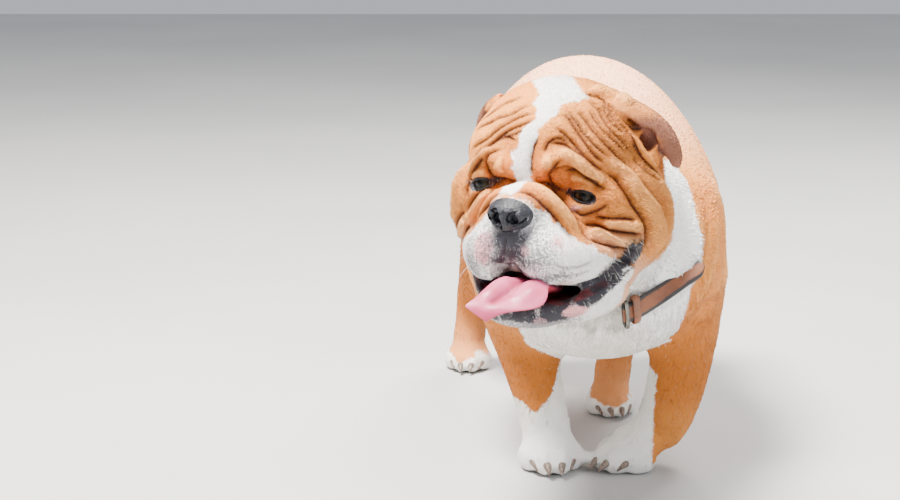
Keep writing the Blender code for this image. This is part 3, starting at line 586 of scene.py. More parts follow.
def coat_colour(graph, colours):
    """The markings that skin and coat share, with painted shade and painted highlights laid into them.
    """
    broad = graph.noise(9.0)
    ragged = graph.noise(130.0, 4.0, 0.65)
    fine = graph.noise(520.0, 3.0, 0.7)
    speck = graph.noise(300.0, 4.0, 0.75)
    painted_shade, painted_fold_shading, crease_shade = [graph.attribute(name) for name in ("painted_shade", "painted_fold_shading", "crease_shade")]
    crease = graph.remap(painted_fold_shading, 0.5, 0.9)
    tan = graph.between(broad, 0.35, 0.7, colours.tan, colours.tan_light)
    tan = graph.mix(graph.remap(fine, 0.3, 0.75, 0.0, 0.35), tan, colours.tan_tip_and_highlight)
    # Pale tan, and a painted highlight along the top of the back
    tan = graph.mix(graph.attribute("pale_and_highlight"), tan, colours.pale_and_highlight)
    # Painted shade on the legs, the underside and under the jaw
    tan = graph.mix(painted_shade, tan, colours.painted_shade)
    # Painted shade beside the creases, and the painted shade line in them and in the ear holes
    tan = graph.mix(graph.math("MULTIPLY", crease_shade, 0.8), tan, TAN_FOLD_SHADE)
    tan = graph.mix(crease, tan, colours.crease)
    # Painted highlight on the tops of the rolls
    tan = graph.mix(graph.remap(painted_fold_shading, 0.5, 0.2, 0.0, 0.5), tan, colours.tan_tip_and_highlight)
    tan = graph.mix(graph.attribute("ear"), tan, colours.ear)
    white = graph.between(broad, 0.3, 0.8, colours.white, colours.cream)
    # Painted shade on the white: on the underside, beside the creases and in them
    white = graph.mix(graph.math("MULTIPLY", painted_shade, 0.45), white, colours.shaded_white)
    white = graph.mix(graph.math("MULTIPLY", crease_shade, 0.30), white, WHITE_FOLD_SHADE)
    white = graph.mix(graph.math("MULTIPLY", crease, 0.45), white, colours.crease)
    coat = graph.mix(edge_mask(graph, "white", ragged, 0.42), tan, white)
    pink = edge_mask(graph, "pink", speck, 0.55, 0.12)
    coat = graph.mix(pink, coat, colours.pink)
    grey = edge_mask(graph, "grey", graph.noise(420.0, 3.0, 0.7), 1.5, 0.16)
    grey = graph.math("MULTIPLY", grey, graph.remap(graph.attribute("grey"), 0.0, 0.3, 0.0, 0.8))
    coat = graph.mix(grey, coat, colours.grey)
    dark = edge_mask(graph, "dark", speck, 0.85, 0.18)
    coat = graph.mix(dark, coat, colours.dark)
    return coat, dark, pink


def skin_material(colours):
    graph = Graph("bulldog_skin")
    colour, dark, _ = coat_colour(graph, colours)
    mouth = graph.attribute("mouth")
    flesh = graph.between(graph.noise(60.0), 0.4, 0.7, colours.gum_dark, colours.gum_red)
    wet = graph.math("MAXIMUM", graph.remap(mouth, 0.3, 0.6), graph.math("MULTIPLY", dark, 0.6))
    pores = graph.bump(graph.noise(260.0), 0.25, 0.0010)
    hair = graph.noise(900.0, 2.0, 0.6, stretch=(1.0, 0.35, 0.5))
    graph.set(
        Base_Color=graph.between(mouth, 0.35, 0.75, colour, flesh),
        Roughness=graph.remap(wet, 0.0, 1.0, 0.82, 0.28),
        Normal=graph.bump(hair, 0.45, 0.0008, pores),
        Specular_IOR_Level=0.2,
        Subsurface_Weight=0.06, Subsurface_Scale=0.004, Subsurface_Radius=(1.0, 0.45, 0.25),
    )
    return graph.material


def coat_material(colours):
    graph = Graph("bulldog_coat")
    colour, dark, pink = coat_colour(graph, colours)
    shade = graph.attribute("shade")
    lighter = graph.mix(graph.remap(shade, 0.5, 1.0, 0.0, 0.10), colour, HAIR_LIGHT)
    darker = graph.mix(graph.remap(shade, 0.5, 0.0, 0.0, 0.10), lighter, HAIR_DARK)
    # White hairs stand over the dark and the pink skin
    bare = graph.math("MAXIMUM", dark, pink)
    hair = graph.mix(graph.math("MULTIPLY", bare, graph.remap(shade, 0.82, 0.9)), darker, colours.cream)
    graph.set(Base_Color=hair, Roughness=0.85, Specular_IOR_Level=0.12)
    return graph.material


# The skin


def head_points(points):
    """Points in the head's frame, in millimetres."""
    return in_frame(HEAD, points) * 1000.0


def design_points(points):
    """Points in the part's frame before its last centring, in millimetres."""
    return (points - np.array(SHIFT)) * 1000.0


def near_head(local):
    """Whether points in the head's frame belong to the head."""
    return (local[:, 1] < HEAD_BACK) & (local[:, 2] > HEAD_BOTTOM)


def mark_plain(obj, chosen):
    """Puts the points that may be thinned out in a vertex group."""
    group = obj.vertex_groups.new(name="plain")
    group.add([int(i) for i in np.nonzero(chosen)[0]], 1.0, "REPLACE")


def grow_skin(props):
    """One closed skin over all the flesh nodes: smooth on the body, fine on the head."""
    # Name, nodes, how far each node grows, distance between points and passes of smoothing
    layers = [
        ("body", BODY_NODES + PAW_NODES, 0.0005, props.body_voxel, 8),
        ("paws", PAW_NODES, 0.0003, props.head_voxel * 1.3, 3),
        ("head", HEAD_NODES, 0.0004, props.head_voxel, 3),
    ]
    grown = [remesh(copy_of_nodes(name, nodes, grow), voxel, passes)
             for name, nodes, grow, voxel, passes in layers]
    whole = join("bulldog_skin", grown)
    remesh(whole, props.head_voxel, 3)
    keep_largest(whole)
    local = head_points(points_of(whole.data))
    fine = near_head(local) & (local[:, 1] <= FINE_BACK)
    mark_plain(whole, ~fine)
    wanted = max(2 * int(fine.sum()) + PLAIN_TRIANGLES, props.skin_triangles)
    reduce = whole.modifiers.new("reduce", "DECIMATE")
    reduce.ratio = min(1.0, wanted / (2 * len(whole.data.polygons)))
    reduce.vertex_group = "plain"
    reduce.use_collapse_triangulate = True
    return apply_modifiers(whole)


def keep_largest(obj):
    """Leaves only the largest closed surface of a mesh."""
    mesh = obj.data
    edges = read_rows(mesh.edges, "vertices", 2, np.int64)
    label = np.arange(len(mesh.vertices))
    while True:
        low = np.minimum(label[edges[:, 0]], label[edges[:, 1]])
        fresh = label.copy()
        np.minimum.at(fresh, edges[:, 0], low)
        np.minimum.at(fresh, edges[:, 1], low)
        fresh = fresh[fresh]
        if (fresh == label).all():
            break
        label = fresh
    biggest = np.bincount(label).argmax()
    bm = bmesh.new()
    bm.from_mesh(mesh)
    bm.verts.ensure_lookup_table()
    scraps = [bm.verts[int(i)] for i in np.nonzero(label != biggest)[0]]
    bmesh.ops.delete(bm, geom=scraps, context="VERTS")
    bm.to_mesh(mesh)
    bm.free()


def laid_on(tree, points, step):
    """A smooth line through the points, laid on a surface."""
    points = [Vector(point) for point in points]
    line = []
    for i in range(len(points) - 1):
        before = points[max(i - 1, 0)]
        start, end = points[i], points[i + 1]
        after = points[min(i + 2, len(points) - 1)]
        count = max(2, int((end - start).length / step))
        for k in range(count):
            t = k / count
            bend = (end - before) * t / 2 * (1 - t) ** 2 - (after - start) * t * t * (1 - t) / 2
            line.append(start.lerp(end, t * t * (3 - 2 * t)) + bend)
    line.append(points[-1])
    return np.array([tree.find_nearest(point)[0] for point in line])


def fold_field(tree, points, normals, folds, to_model, step):
    """Rounded rolls between creases: how far each point moves, and how near a crease it lies, as painted
    shade in and beside it.

    The skin swells up from each crease along a quarter circle, so that two creases leave a
    round roll between them, and its points draw in towards the crease. The step is the distance
    between the points of each crease's line.
    """
    swell = np.zeros(len(points))
    sunk = np.zeros(len(points))
    pull = np.zeros(points.shape)
    crease_line_shade = np.zeros(len(points))
    crease_shade = np.zeros(len(points))
    for height, radius, route in folds:
        crease = height < 0
        reach = radius / 1000.0 * (ROLL_WIDTH if crease else RIDGE_WIDTH)
        path = laid_on(tree, [to_model @ Vector(point) for point in route], step)
        low, high = path.min(0) - reach, path.max(0) + reach
        near = np.nonzero(((points > low) & (points < high)).all(1))[0]
        if not len(near):
            continue
        spans = points[near][:, None, :] - path[None, :, :]
        distances = np.sqrt((spans**2).sum(2))
        closest = distances.argmin(1)
        distance = distances.min(1)
        along = closest / max(1, len(path) - 1)
        taper = np.clip(np.minimum(along, 1 - along) / FADE_LENGTH, 0.0, 1.0)
        taper = FADE_REST + (1 - FADE_REST) * taper * taper * (3 - 2 * taper)
        if crease:
            inner = 1 - np.clip(distance / reach, 0.0, 1.0)
            hollow = (1 - np.sqrt(1 - inner**2 * 0.998)) * taper
            sunk[near] += (-height / 1000.0 * hollow) ** 3
            toward = spans[np.arange(len(near)), closest]
            pull[near] -= toward * (PINCH * inner**2 * taper)[:, None]
            # Painted shade: a dark line in the crease and a wider shade beside it, fuller for deeper
            # creases
            line = np.exp(-((distance / CREASE_LINE) ** 2)) * taper
            crease_line_shade[near] = np.maximum(crease_line_shade[near], line)
            beside_shade = np.exp(-((distance / CREASE_SHADE_REACH) ** 2)) * taper * min(1.0, -height / DEEP_CREASE)
            crease_shade[near] = np.maximum(crease_shade[near], beside_shade)
        else:
            swell[near] += height / 1000.0 * np.exp(-((distance / (radius / 1000.0)) ** 2)) * taper
    lift = swell - np.cbrt(sunk)
    pull -= normals * (pull * normals).sum(1)[:, None]
    return lift, pull, crease_line_shade, crease_shade


def choose(chosen, first, second):
    """The first values where chosen, otherwise the second."""
    return np.where(chosen[:, None] if first.ndim == 2 else chosen, first, second)


def smooth_attribute(mesh, values, passes):
    """Values of the points, each drawn towards the mean of its neighbours."""
    edges = read_rows(mesh.edges, "vertices", 2, np.int64)
    first, second = edges.T
    count = np.bincount(edges.ravel(), minlength=len(mesh.vertices)).astype(float)
    for _ in range(passes):
        total = np.bincount(first, values[second], len(values))
        total += np.bincount(second, values[first], len(values))
        values = 0.5 * values + 0.5 * total / np.maximum(count, 1.0)
    return values


# Half the length of the slit between the lids, and how far each lid stands from its middle line
LID_HALF_LENGTH = 0.0124
UPPER_LID_RISE = 0.0048
LOWER_LID_FALL = 0.0062
LID_THICKNESS = 0.0022
LID_REACH = 0.009
# How far from the middle of the eye the skin lies that is hidden behind it
SKIN_BEHIND_EYE = 0.0116
# How far the skin draws back under the nose leather
DEPTH_UNDER_NOSE = 0.010
# The radius of each lid's wet rim, and how far its middle stands off the eyeball
UPPER_RIM = 0.0010
LOWER_RIM = 0.0012
RIM_GAP = 0.0014
# How far from the middle of the gaze the cornea reaches, in radians, and how far it bulges
CORNEA_ANGLE = 0.72
CORNEA_RISE = 0.0008


def eye_frame(sign):
    """A frame at an eye: -Y looks out between the lids, X runs along the slit."""
    centre = eye_place(sign)
    outward = Matrix.Rotation(math.radians(sign * 16.0), 4, "Z")
    droop = Matrix.Rotation(math.radians(sign * 12.0), 4, "Y")
    return HEAD @ Matrix.Translation(centre) @ outward @ droop


def lid_edges(u):
    """How far the upper and the lower lid stand open at u, from -1 at the inner corner to 1."""
    upper = UPPER_LID_RISE * (1 - np.clip(np.abs(u), 0, 1) ** 2.2)
    lower = LOWER_LID_FALL * (1 - np.clip(np.abs(u + 0.1) / 1.1, 0, 1) ** 2.4)
    return upper, lower


def open_lids(points):
    """Sinks the skin behind the eyeballs, and gives the lids round them a wall."""
    for sign in (1.0, -1.0):
        place = eye_frame(sign)
        local = in_frame(place, points)
        distance = np.linalg.norm(local, axis=1)
        near = np.nonzero((distance < 0.024) & (local[:, 1] < 0.004))[0]
        spot = local[near]
        u = spot[:, 0] * sign / LID_HALF_LENGTH
        upper, lower = lid_edges(u)
        span = np.where(spot[:, 2] > 0, upper, lower)
        inside = (np.abs(u) < 1) & (np.abs(spot[:, 2]) < span)
        # How far outside the opening, in metres
        gap = np.where(np.abs(u) < 1, np.abs(spot[:, 2]) - span, (np.abs(u) - 1) * LID_HALF_LENGTH)
        gap = np.maximum(gap, 0.0)
        wall = EYE_RADIUS + LID_THICKNESS - 0.35 * np.maximum(gap - 0.004, 0.0)
        radius = distance[near]
        lid = np.maximum(radius, np.where(gap < LID_REACH, wall, 0.0))
        target = np.where(inside, SKIN_BEHIND_EYE, lid)
        local_new = spot * (target / np.maximum(radius, 1e-6))[:, None]
        matrix = np.array(place)
        points[near] = local_new @ matrix[:3, :3].T + matrix[:3, 3]
    return points


def sink_under_nose(points):
    """Draws the skin back under the nose leather, so that the nostrils stay open."""
    local = in_frame(HEAD, points)
    spans = (local - np.array(NOSE_CENTRE)) / (np.array(NOSE_RADII) * 1.02)
    edge = np.sqrt((spans[:, [0, 2]] ** 2).sum(1))
    under = (edge < 0.93) & (local[:, 1] < NOSE_CENTRE.y + 0.002)
    back = np.where(under, DEPTH_UNDER_NOSE * (1 - edge**4), 0.0)
    inward = np.array(HEAD.to_3x3() @ Vector((0.0, 1.0, 0.0)))
    return points + inward * back[:, None]


def blob(local, centre, radii):
    """A field that is 1 at the middle of a patch, 0.5 at its edge and falls to 0 outside."""
    spans = (local - np.array(centre)) / np.array(radii)
    return np.clip(1.0 - 0.5 * np.sqrt((spans**2).sum(1)), 0.0, 1.0)


def from_distance(distance, reach):
    """A field that is 0.5 at a marking's edge, from a signed distance in millimetres."""
    return np.clip(0.5 + distance / (2 * reach), 0.0, 1.0)


# The distance of a point that a marking doesn't reach, in millimetres
FAR = -40.0


def blaze_distance(local):
    """How far inside the blaze a point of the forehead lies."""
    x, y, z = local.T
    up = z + np.maximum(y, 0.0)
    left = np.interp(up, [0, 9, 28, 39, 45, 56, 66, 74, 79, 93, 109, 124, 162, 190],
                     [-16, -16, -16, -18, -8, -9, -2, 8, 6, -3, 0, -6, -30, -10])
    right = np.interp(up, [0, 10, 15, 31, 46, 55, 64, 73, 79, 88, 101, 110, 125, 140, 165, 190],
                      [2, 1, 2, 4, 7, 11, 14, 21, 28, 27, 30, 41, 46, 34, 20, 0])
    inside = np.minimum(x - left, right - x)
    inside = np.minimum(inside, up - 2.0)
    return np.where(z > -5, inside, -30.0)


def muzzle_distance(local):
    """How far inside the white of the muzzle a point lies."""
    x, y, z = local.T
    edge = np.interp(np.abs(x), [0, 12, 20, 29, 38, 52, 63, 73, 80, 88, 96],
                     [0, -2, -6, -13, -23, -37, -46, -51, -58, -66, -70])
    inside = (edge - z) * 0.75
    back = np.interp(z, [-100, -75, -60, -40, 0], [18, 14, 2, -12, -30])
    return np.minimum(inside, back - y)


def bib_distance(place):
    """How far inside the white of throat, chest and belly a point lies."""
    x, y, z = place.T
    edge = np.interp(z, [100, 130, 151, 190, 217, 237, 255, 278, 299, 317, 331, 345],
                     [130, 70, -20, -98, -112, -108, -98, -88, -88, -78, -60, -60])
    side = np.interp(z, [100, 150, 190, 250, 330], [50, 84, 100, 112, 106])
    inside = edge - y + 0.35 * (side - np.abs(x))
    inside = np.minimum(inside, 350.0 - z + 0.2 * (-y))
    between_legs = np.interp(z, [112, 118, 130, 145, 160, 178], [-12, 30, 46, 76, 96, 220]) - np.abs(x)
    inside = np.minimum(inside, between_legs)
    belly = np.minimum(54.0 - np.abs(x), np.where((y > 40) & (y < 330), 175.0 - z, FAR))
    return np.maximum(inside, belly)


def leg_distance(place):
    """How far inside the white of the lower forelegs and the hind toes a point lies."""
    x, y, z = place.T
    wander = 4.0 * np.sin(y * 0.09) + 3.0 * np.sin(x * 0.13)
    right_edge = np.interp(x, [-100, -84, -69, -50, -38, -30], [84, 80, 70, 92, 122, 135])
    right = np.where((x < -8) & (y < 110), right_edge - z + wander * 0.5, FAR)
    inner = np.minimum(66.0 + 0.10 * (z - 50) - x, 112.0 - z)
    left = np.where((x > -8) & (y < 110), np.maximum(inner + wander * 0.4, 12.0 - z), FAR)
    hind = np.where(y > 110, 22.0 + wander - z, FAR)
    return np.maximum(np.maximum(right, left), hind)


# Patches of the muzzle and chin: middle and radii in the head's frame in millimetres, and strength
DARK_PATCHES = [
    ((0, -66, -40), (24, 12, 14), 0.92), ((2, -64, -54), (19, 12, 14), 0.84),
    ((-10, -62, -64), (12, 12, 11), 0.74), ((16, -62, -62), (14, 10, 10), 0.74),
    ((0, -66, -20), (33, 20, 25), 0.56), ((-44, -46, -70), (16, 14, 14), 0.54),
]
GREY_PATCHES = [
    ((0, -60, -40), (38, 26, 36), 0.95), ((24, -56, -56), (24, 18, 20), 0.85),
    ((-42, -46, -66), (20, 18, 28), 0.9), ((0, -56, -8), (34, 18, 12), 0.7),
    ((44, -50, -80), (44, 20, 12), 0.7), ((20, -40, -128), (54, 30, 10), 0.9),
]
PINK_PATCHES = [
    ((-28, -60, -52), (12, 14, 17), 1.0), ((18, -66, -52), (7, 8, 7), 0.95),
    ((46, -48, -44), (17, 14, 14), 0.62), ((56, -30, -118), (20, 14, 8), 1.0),
    ((30, -52, -126), (16, 12, 6), 0.8), ((52, -12, -15), (13, 12, 5), 0.58),
    ((30, -60, -64), (12, 10, 8), 0.6), ((-58, -26, -118), (15, 12, 7), 0.9),
]
MOUTH_PATCHES = [((0, -10, -98), (76, 66, 26), 1.0), ((0, -52, -88), (24, 24, 24), 1.0)]
# Heights of the lips' edges at distances from the middle of the face, in millimetres
FLEW_SIDES = [0, 12, 30, 46, 60, 72, 84, 92, 100]
FLEW_HEIGHTS = [-66, -74, -90, -95, -95, -92, -83, -72, -64]
JAW_SIDES = [0, 20, 44, 62, 79, 94, 104]
JAW_HEIGHTS = [-126, -128, -127, -119, -106, -90, -74]
# How far back the flap of each ear starts, at heights over the eyes
EAR_HEIGHTS = [8, 21, 33, 44, 55, 59, 67, 76]
EAR_EDGE = [96, 87, 78, 78, 69, 61, 48, 40]
# The share of the mouth's flesh colour that is left outside of the mouth
LIP_SHARE = 0.45
# The height in metres from which a roll has its full painted highlight
ROLL_HIGHLIGHT_HEIGHT = 0.004


def strongest(local, patches):
    """A field with the strongest patch at each point."""
    return np.max([strength * blob(local, centre, radii) for centre, radii, strength in patches], axis=0)


def ramp(values, start, length):
    """From 0 to 1 over a length from its start."""
    return np.clip((values - start) / length, 0.0, 1.0)


def white_field(local, place, region, head):
    """White of the blaze, muzzle, chin, throat, chest, belly and feet."""
    x, y, z = local.T
    face = np.maximum(blaze_distance(local), muzzle_distance(local))
    nose_roll = 12.0 * (2.0 * blob(local, (-4, -28, 6), (11, 26, 12)) - 1.0)
    chin = np.minimum(np.minimum(-100.0 - z, 26.0 - y), 1.3 * (54.0 - np.abs(x)))
    face = np.maximum(np.maximum(face, nose_roll), chin)
    hind = np.isin(region, ["hindleg_left", "hindleg_right", "hindpaw_left", "hindpaw_right"])
    body = np.maximum(np.where(hind, FAR, bib_distance(place)), leg_distance(place))
    body = np.where(z > -70, np.minimum(body, y - 132.0), body)
    behind_cheek = np.maximum(y - np.interp(z, [-140, -60], [58, 80]), -130.0 - z)
    throat = np.where(z < -60, np.minimum(body, behind_cheek), FAR)
    return from_distance(np.where(head, np.maximum(face, throat), body), 14.0)


def eye_surround(points):
    """Dark skin round the lids, and dark patches in the corners of the eyes."""
    dark = np.zeros(len(points))
    for sign in (1.0, -1.0):
        eye = in_frame(eye_frame(sign), points) * 1000.0
        ring = np.sqrt((eye[:, 0] / 14.4) ** 2 + ((eye[:, 2] + 0.6) / 7.6) ** 2)
        lids = np.where(eye[:, 1] < 4, np.clip(0.5 - 3.2 * (ring - 1.0), 0, 0.95), 0.0)
        corners = [((-sign * 17, -6, 0), (8, 9, 5), 0.85), ((sign * 17, -2, 1), (8, 9, 3.5), 0.85)]
        dark = np.maximum(dark, np.maximum(lids, strongest(eye, corners)))
    return dark


def lip_field(local, jaw):
    """The dark edge of the flews and the whole rim of the lower jaw."""
    x, y, z = local.T
    side = np.abs(x)
    width = np.interp(side, [0, 40, 70, 100], [7, 6, 12, 26])
    near_edge = 1.0 - np.abs(z - np.interp(side, FLEW_SIDES, FLEW_HEIGHTS) - 1.0) / width
    on_flew = (~jaw) & (y < 34) & (z > -104)
    strength = np.interp(side, [0, 46, 66, 82], [0.7, 0.5, 0.8, 1.0])
    flews = np.where(on_flew, np.clip(near_edge, 0, 1) * strength, 0.0)
    rim_break = 0.16 * np.sin(x * 0.31) * np.sin(x * 0.13 + 1.0)
    rim = np.clip(0.5 + (z - np.interp(side, JAW_SIDES, JAW_HEIGHTS)) / 8.0, 0, 0.72) + rim_break
    return np.maximum(flews, np.where(jaw & (y < 40), rim, 0.0))


def pale_and_highlight_field(local, place, head):
    """Pale tan of the flanks, the lower cheeks and the skin beside the lips, and a painted highlight
    along the top of the back.
    """
    sides = np.stack([np.abs(local[:, 0]), local[:, 1], local[:, 2]], axis=1)
    low_cheek = 1.5 * blob(sides, (76, 46, -112), (60, 70, 36)) * ramp(-local[:, 2], 66, 22)
    beside_lips = 0.8 * blob(sides, (84, 8, -54), (24, 24, 12))
    # Painted highlight along the top of the back
    back = ramp(place[:, 2], 300, 130) * ramp(place[:, 1], -60, 120)
    flank = ramp(place[:, 1], -40, 160) * 0.35
    face, body = np.maximum(low_cheek, beside_lips), np.maximum(0.75 * back, flank)
    return np.clip(np.where(head, face, body), 0, 1)


def underside_shade_field(local, place, head):
    """Painted shade under the jaw, on the legs and on the underside."""
    _, y, z = place.T
    shaded = 215.0 + 90.0 * ramp(y, 200, 150)
    low = np.clip((shaded - z) / 90.0, 0, 1) * np.interp(z, [0, 40, 90], [0.25, 0.5, 1.0])
    return np.where(head, ramp(-local[:, 2], 118, 20) * 0.7, low)


def ear_fields(local, region, head):
    """The dark flaps of the ears, and painted shade in the holes before them."""
    x, y, z = local.T
    behind_edge = np.clip(0.5 + (y - np.interp(z, EAR_HEIGHTS, EAR_EDGE)) / 7.0, 0, 1)
    flap = 0.9 * behind_edge * np.clip((78.0 - z) / 14.0, 0.3, 1)
    sides = np.stack([np.abs(x), y, z], axis=1)
    hole = np.maximum(blob(sides, (96, 70, 44), (11, 13, 13)), blob(local, (-82, 64, 62), (13, 16, 22)))
    flap = np.where(np.isin(region, ["ear_left", "ear_right"]), flap, 0.0)
    return flap, np.where(head, hole, 0.0)


def inside_mouth(local, facing, jaw):
    """Whether a point lies on the floor of the mouth, its roof or its back wall."""
    x, y, z = local.T
    floor = jaw & (y > -44) & (facing[:, 2] > 0.2)
    roof = (~jaw) & (y > -46) & (z < -70) & (facing[:, 2] < -0.45)
    back_wall = (y > 6) & (np.abs(x) < 60) & (facing[:, 1] < -0.5)
    return floor | roof | back_wall


def markings(points, region):
    """Every marking, with the painted shade and highlights, as a field from 0 to 1 with its edge at 0.5.
    """
    local = head_points(points)
    place = design_points(points)
    head = near_head(local)
    jaw = region == "lower_jaw"
    pink = strongest(local, PINK_PATCHES)
    dark = np.maximum(strongest(local, DARK_PATCHES), eye_surround(points))
    dark = np.maximum(dark, lip_field(local, jaw))
    dark = np.where(jaw, dark * (1.0 - 0.9 * ramp(pink, 0.5, 0.25)), dark)
    ear, hole = ear_fields(local, region, head)
    return {
        "white": white_field(local, place, region, head),
        # Dark skin, with painted shade in the ear holes
        "dark": np.maximum(np.where(head, dark, 0.0), np.clip(3.0 * (hole - 0.66), 0, 0.8)),
        "grey": np.where(head, strongest(local, GREY_PATCHES), 0.0),
        "pink": np.where(head, pink, 0.0),
        "pale_and_highlight": pale_and_highlight_field(local, place, head),
        "painted_shade": underside_shade_field(local, place, head),
        "ear": ear,
        "hole": np.clip(2.8 * hole - 0.9, 0, 1),
        "mouth": np.where(head & (local[:, 1] < 60), strongest(local, MOUTH_PATCHES), 0.0),
    }


def region_of_points(points):
    """The flesh node that lies nearest to each point."""
    bm = bmesh.new()
    owners = []
    for node in SKIN_NODES:
        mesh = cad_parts[node].data
        bm.from_mesh(mesh)
        owners += [node] * len(mesh.polygons)
    tree = BVHTree.FromBMesh(bm)
    bm.free()
    return np.array([owners[tree.find_nearest(Vector(point))[2]] for point in points])


def tree_of(obj):
    mesh = obj.data
    polygons = [tuple(face.vertices) for face in mesh.polygons]
    return BVHTree.FromPolygons([vert.co for vert in mesh.vertices], polygons)


def store(mesh, name, values):
    """Keeps one number for each point, for a material to read."""
    attribute = mesh.attributes.new(name, "FLOAT", "POINT")
    attribute.data.foreach_set("value", values.astype(np.float32))


def read_field(mesh, name):
    """The values of a marking that a mesh stores."""
    return read_rows(mesh.attributes[name].data, "value", 1, np.float32)[:, 0].astype(float)


class BulldogSkinSettings(bpy.types.PropertyGroup):
    head_voxel: bpy.props.FloatProperty(
        name="Head detail", description="Distance between the points of the head's skin",
        default=0.0016, min=0.001, unit="LENGTH",
    )
    body_voxel: bpy.props.FloatProperty(
        name="Body detail", description="Distance over which the body's skin is rounded off",
        default=0.0070, min=0.002, unit="LENGTH",
    )
    skin_triangles: bpy.props.IntProperty(
        name="Triangles", description="Most triangles of the skin", default=192000, min=20000,
    )
    wrinkles: bpy.props.FloatProperty(
        name="Wrinkles", description="Depth of the folds, as a share of the dog in the photo",
        default=1.0, min=0.0, subtype="FACTOR",
    )
    coat_depth: bpy.props.FloatProperty(
        name="Coat depth", description="How far the body's skin lies under the tips of its hair",
        default=0.0018, min=0.0, unit="LENGTH",
    )


class BulldogCoatSettings(bpy.types.PropertyGroup):
    body_tufts: bpy.props.IntProperty(
        name="Body tufts", description="Number of tufts on the body and legs", default=78000, min=0,
    )
    head_tufts: bpy.props.IntProperty(
        name="Head tufts", description="Number of tufts on the head", default=140000, min=0,
    )
    body_length: bpy.props.FloatProperty(
        name="Body hair", description="Length of the hair on the body", default=0.0085, unit="LENGTH",
    )
    face_length: bpy.props.FloatProperty(
        name="Face hair", description="Length of the hair on the face", default=0.0030, unit="LENGTH",
    )
    seed: bpy.props.IntProperty(name="Seed", description="Start of the random draw", default=7)


def colour_property(name, description, default):
    return bpy.props.FloatVectorProperty(
        name=name, description=description, default=default, size=3, subtype="COLOR", min=0.0, max=1.0,
    )


class BulldogColourSettings(bpy.types.PropertyGroup):
    tan: colour_property("Tan", "Main colour of the coat", (0.64, 0.180, 0.018))
    tan_light: colour_property("Light tan", "Lighter tan of the coat", (0.76, 0.290, 0.048))
    # Tan tips, also the painted highlight on the tops of the rolls
    tan_tip_and_highlight: colour_property("Tan tips", "Colour of the tips of tan hair", (0.90, 0.47, 0.145))
    # Pale tan, also the painted highlight along the back
    pale_and_highlight: colour_property("Pale", "Pale tan of the back and flanks", (0.90, 0.52, 0.34))
    # The crease colour is painted shade in the creases and the ear holes
    crease: colour_property("Crease", "Colour deep in the folds", (0.085, 0.020, 0.006))
    ear: colour_property("Ear", "Colour of the ears", (0.25, 0.105, 0.075))
    white: colour_property("White", "White of the coat", (0.93, 0.92, 0.91))
    cream: colour_property("Cream", "Warmer white of the coat", (0.86, 0.83, 0.77))
    pink: colour_property("Pink skin", "Bare pink skin", (0.80, 0.37, 0.38))
    # Painted shade on the tan and the white of the legs, the underside and under the jaw
    painted_shade: colour_property("Deep tan", "Tan of the legs and of the underside", (0.42, 0.125, 0.016))
    shaded_white: colour_property("Dull white", "White of the underside", (0.60, 0.56, 0.46))
    grey: colour_property("Grey skin", "Grey freckles of the muzzle", (0.125, 0.115, 0.140))
    dark: colour_property("Dark skin", "Dark skin of lips, lids and muzzle", (0.028, 0.027, 0.034))
    gum_dark: colour_property("Dark gum", "Dark skin inside the mouth", (0.035, 0.016, 0.018))
    gum_red: colour_property("Red gum", "Red skin inside the mouth", (0.30, 0.045, 0.045))
    tongue: colour_property("Tongue", "Colour of the tongue", (0.44, 0.058, 0.135))
    iris: colour_property("Iris", "Colour of the iris", (0.013, 0.011, 0.006))
    leather: colour_property("Leather", "Colour of the collar's face", (0.24, 0.075, 0.026))


class BULLDOG_OT_skin(bpy.types.Operator):
    """Grows the skin over the flesh, wrinkles it and marks it"""

    bl_idname = "bulldog.skin"
    bl_label = "Skin"

    def execute(self, context):
        props = props_of("bulldog_skin")
        obj = grow_skin(props)
        mesh = obj.data
        points = points_of(mesh)
        local = head_points(points)
        head = near_head(local)
        tree = tree_of(obj)
        normals = normals_of(mesh)
        depth = np.where(head, FACE_COAT_DEPTH, props.coat_depth)
        points -= normals * depth[:, None]
        face = fold_field(tree, points, normals, FACE_FOLDS, HEAD_TABLES, 0.0012)
        body = fold_field(tree, points, normals, BODY_FOLDS, BODY_TABLES, 0.004)
        lift, pull, crease, crease_shade = [choose(head, a, b) for a, b in zip(face, body)]
        points += (normals * lift[:, None] + pull) * props.wrinkles
        points = open_lids(sink_under_nose(points))
        set_points(mesh, points)
        region = region_of_points(points)
        fields = markings(points, region)
        facing = in_frame(HEAD.to_3x3().to_4x4(), normals_of(mesh))
        inside = inside_mouth(head_points(points), facing, region == "lower_jaw")
        mouth = np.where(inside, 1.0, LIP_SHARE) * fields["mouth"]
        fields["mouth"] = smooth_attribute(mesh, mouth, 2)
        # Painted highlight on the tops of the rolls, painted shade in the creases and in the ear holes
        roll_highlight = ramp(lift, 0.0, ROLL_HIGHLIGHT_HEIGHT)
        painted_fold_shading = np.clip(0.5 + 0.5 * crease - 0.3 * roll_highlight * (crease < 0.2), 0.0, 1.0)
        fields["painted_fold_shading"] = np.maximum(painted_fold_shading, fields.pop("hole"))
        fields["ear"] = smooth_attribute(mesh, fields["ear"], 2)
        fields["crease_shade"] = crease_shade
        for name, values in fields.items():
            store(mesh, name, values)
        finish_piece(obj, skin_material(props_of("bulldog_colours")), "coat", *SKIN_NODES)
        return {"FINISHED"}


# The coat


# The radius of a tuft beside its length, its lift from the skin in degrees, and the most in one piece
TUFTS = {"head": (0.095, 17.0, 48000), "body": (0.070, 7.0, 19500)}
# The width of each tuft on the map
TUFT_PATCH = 0.003


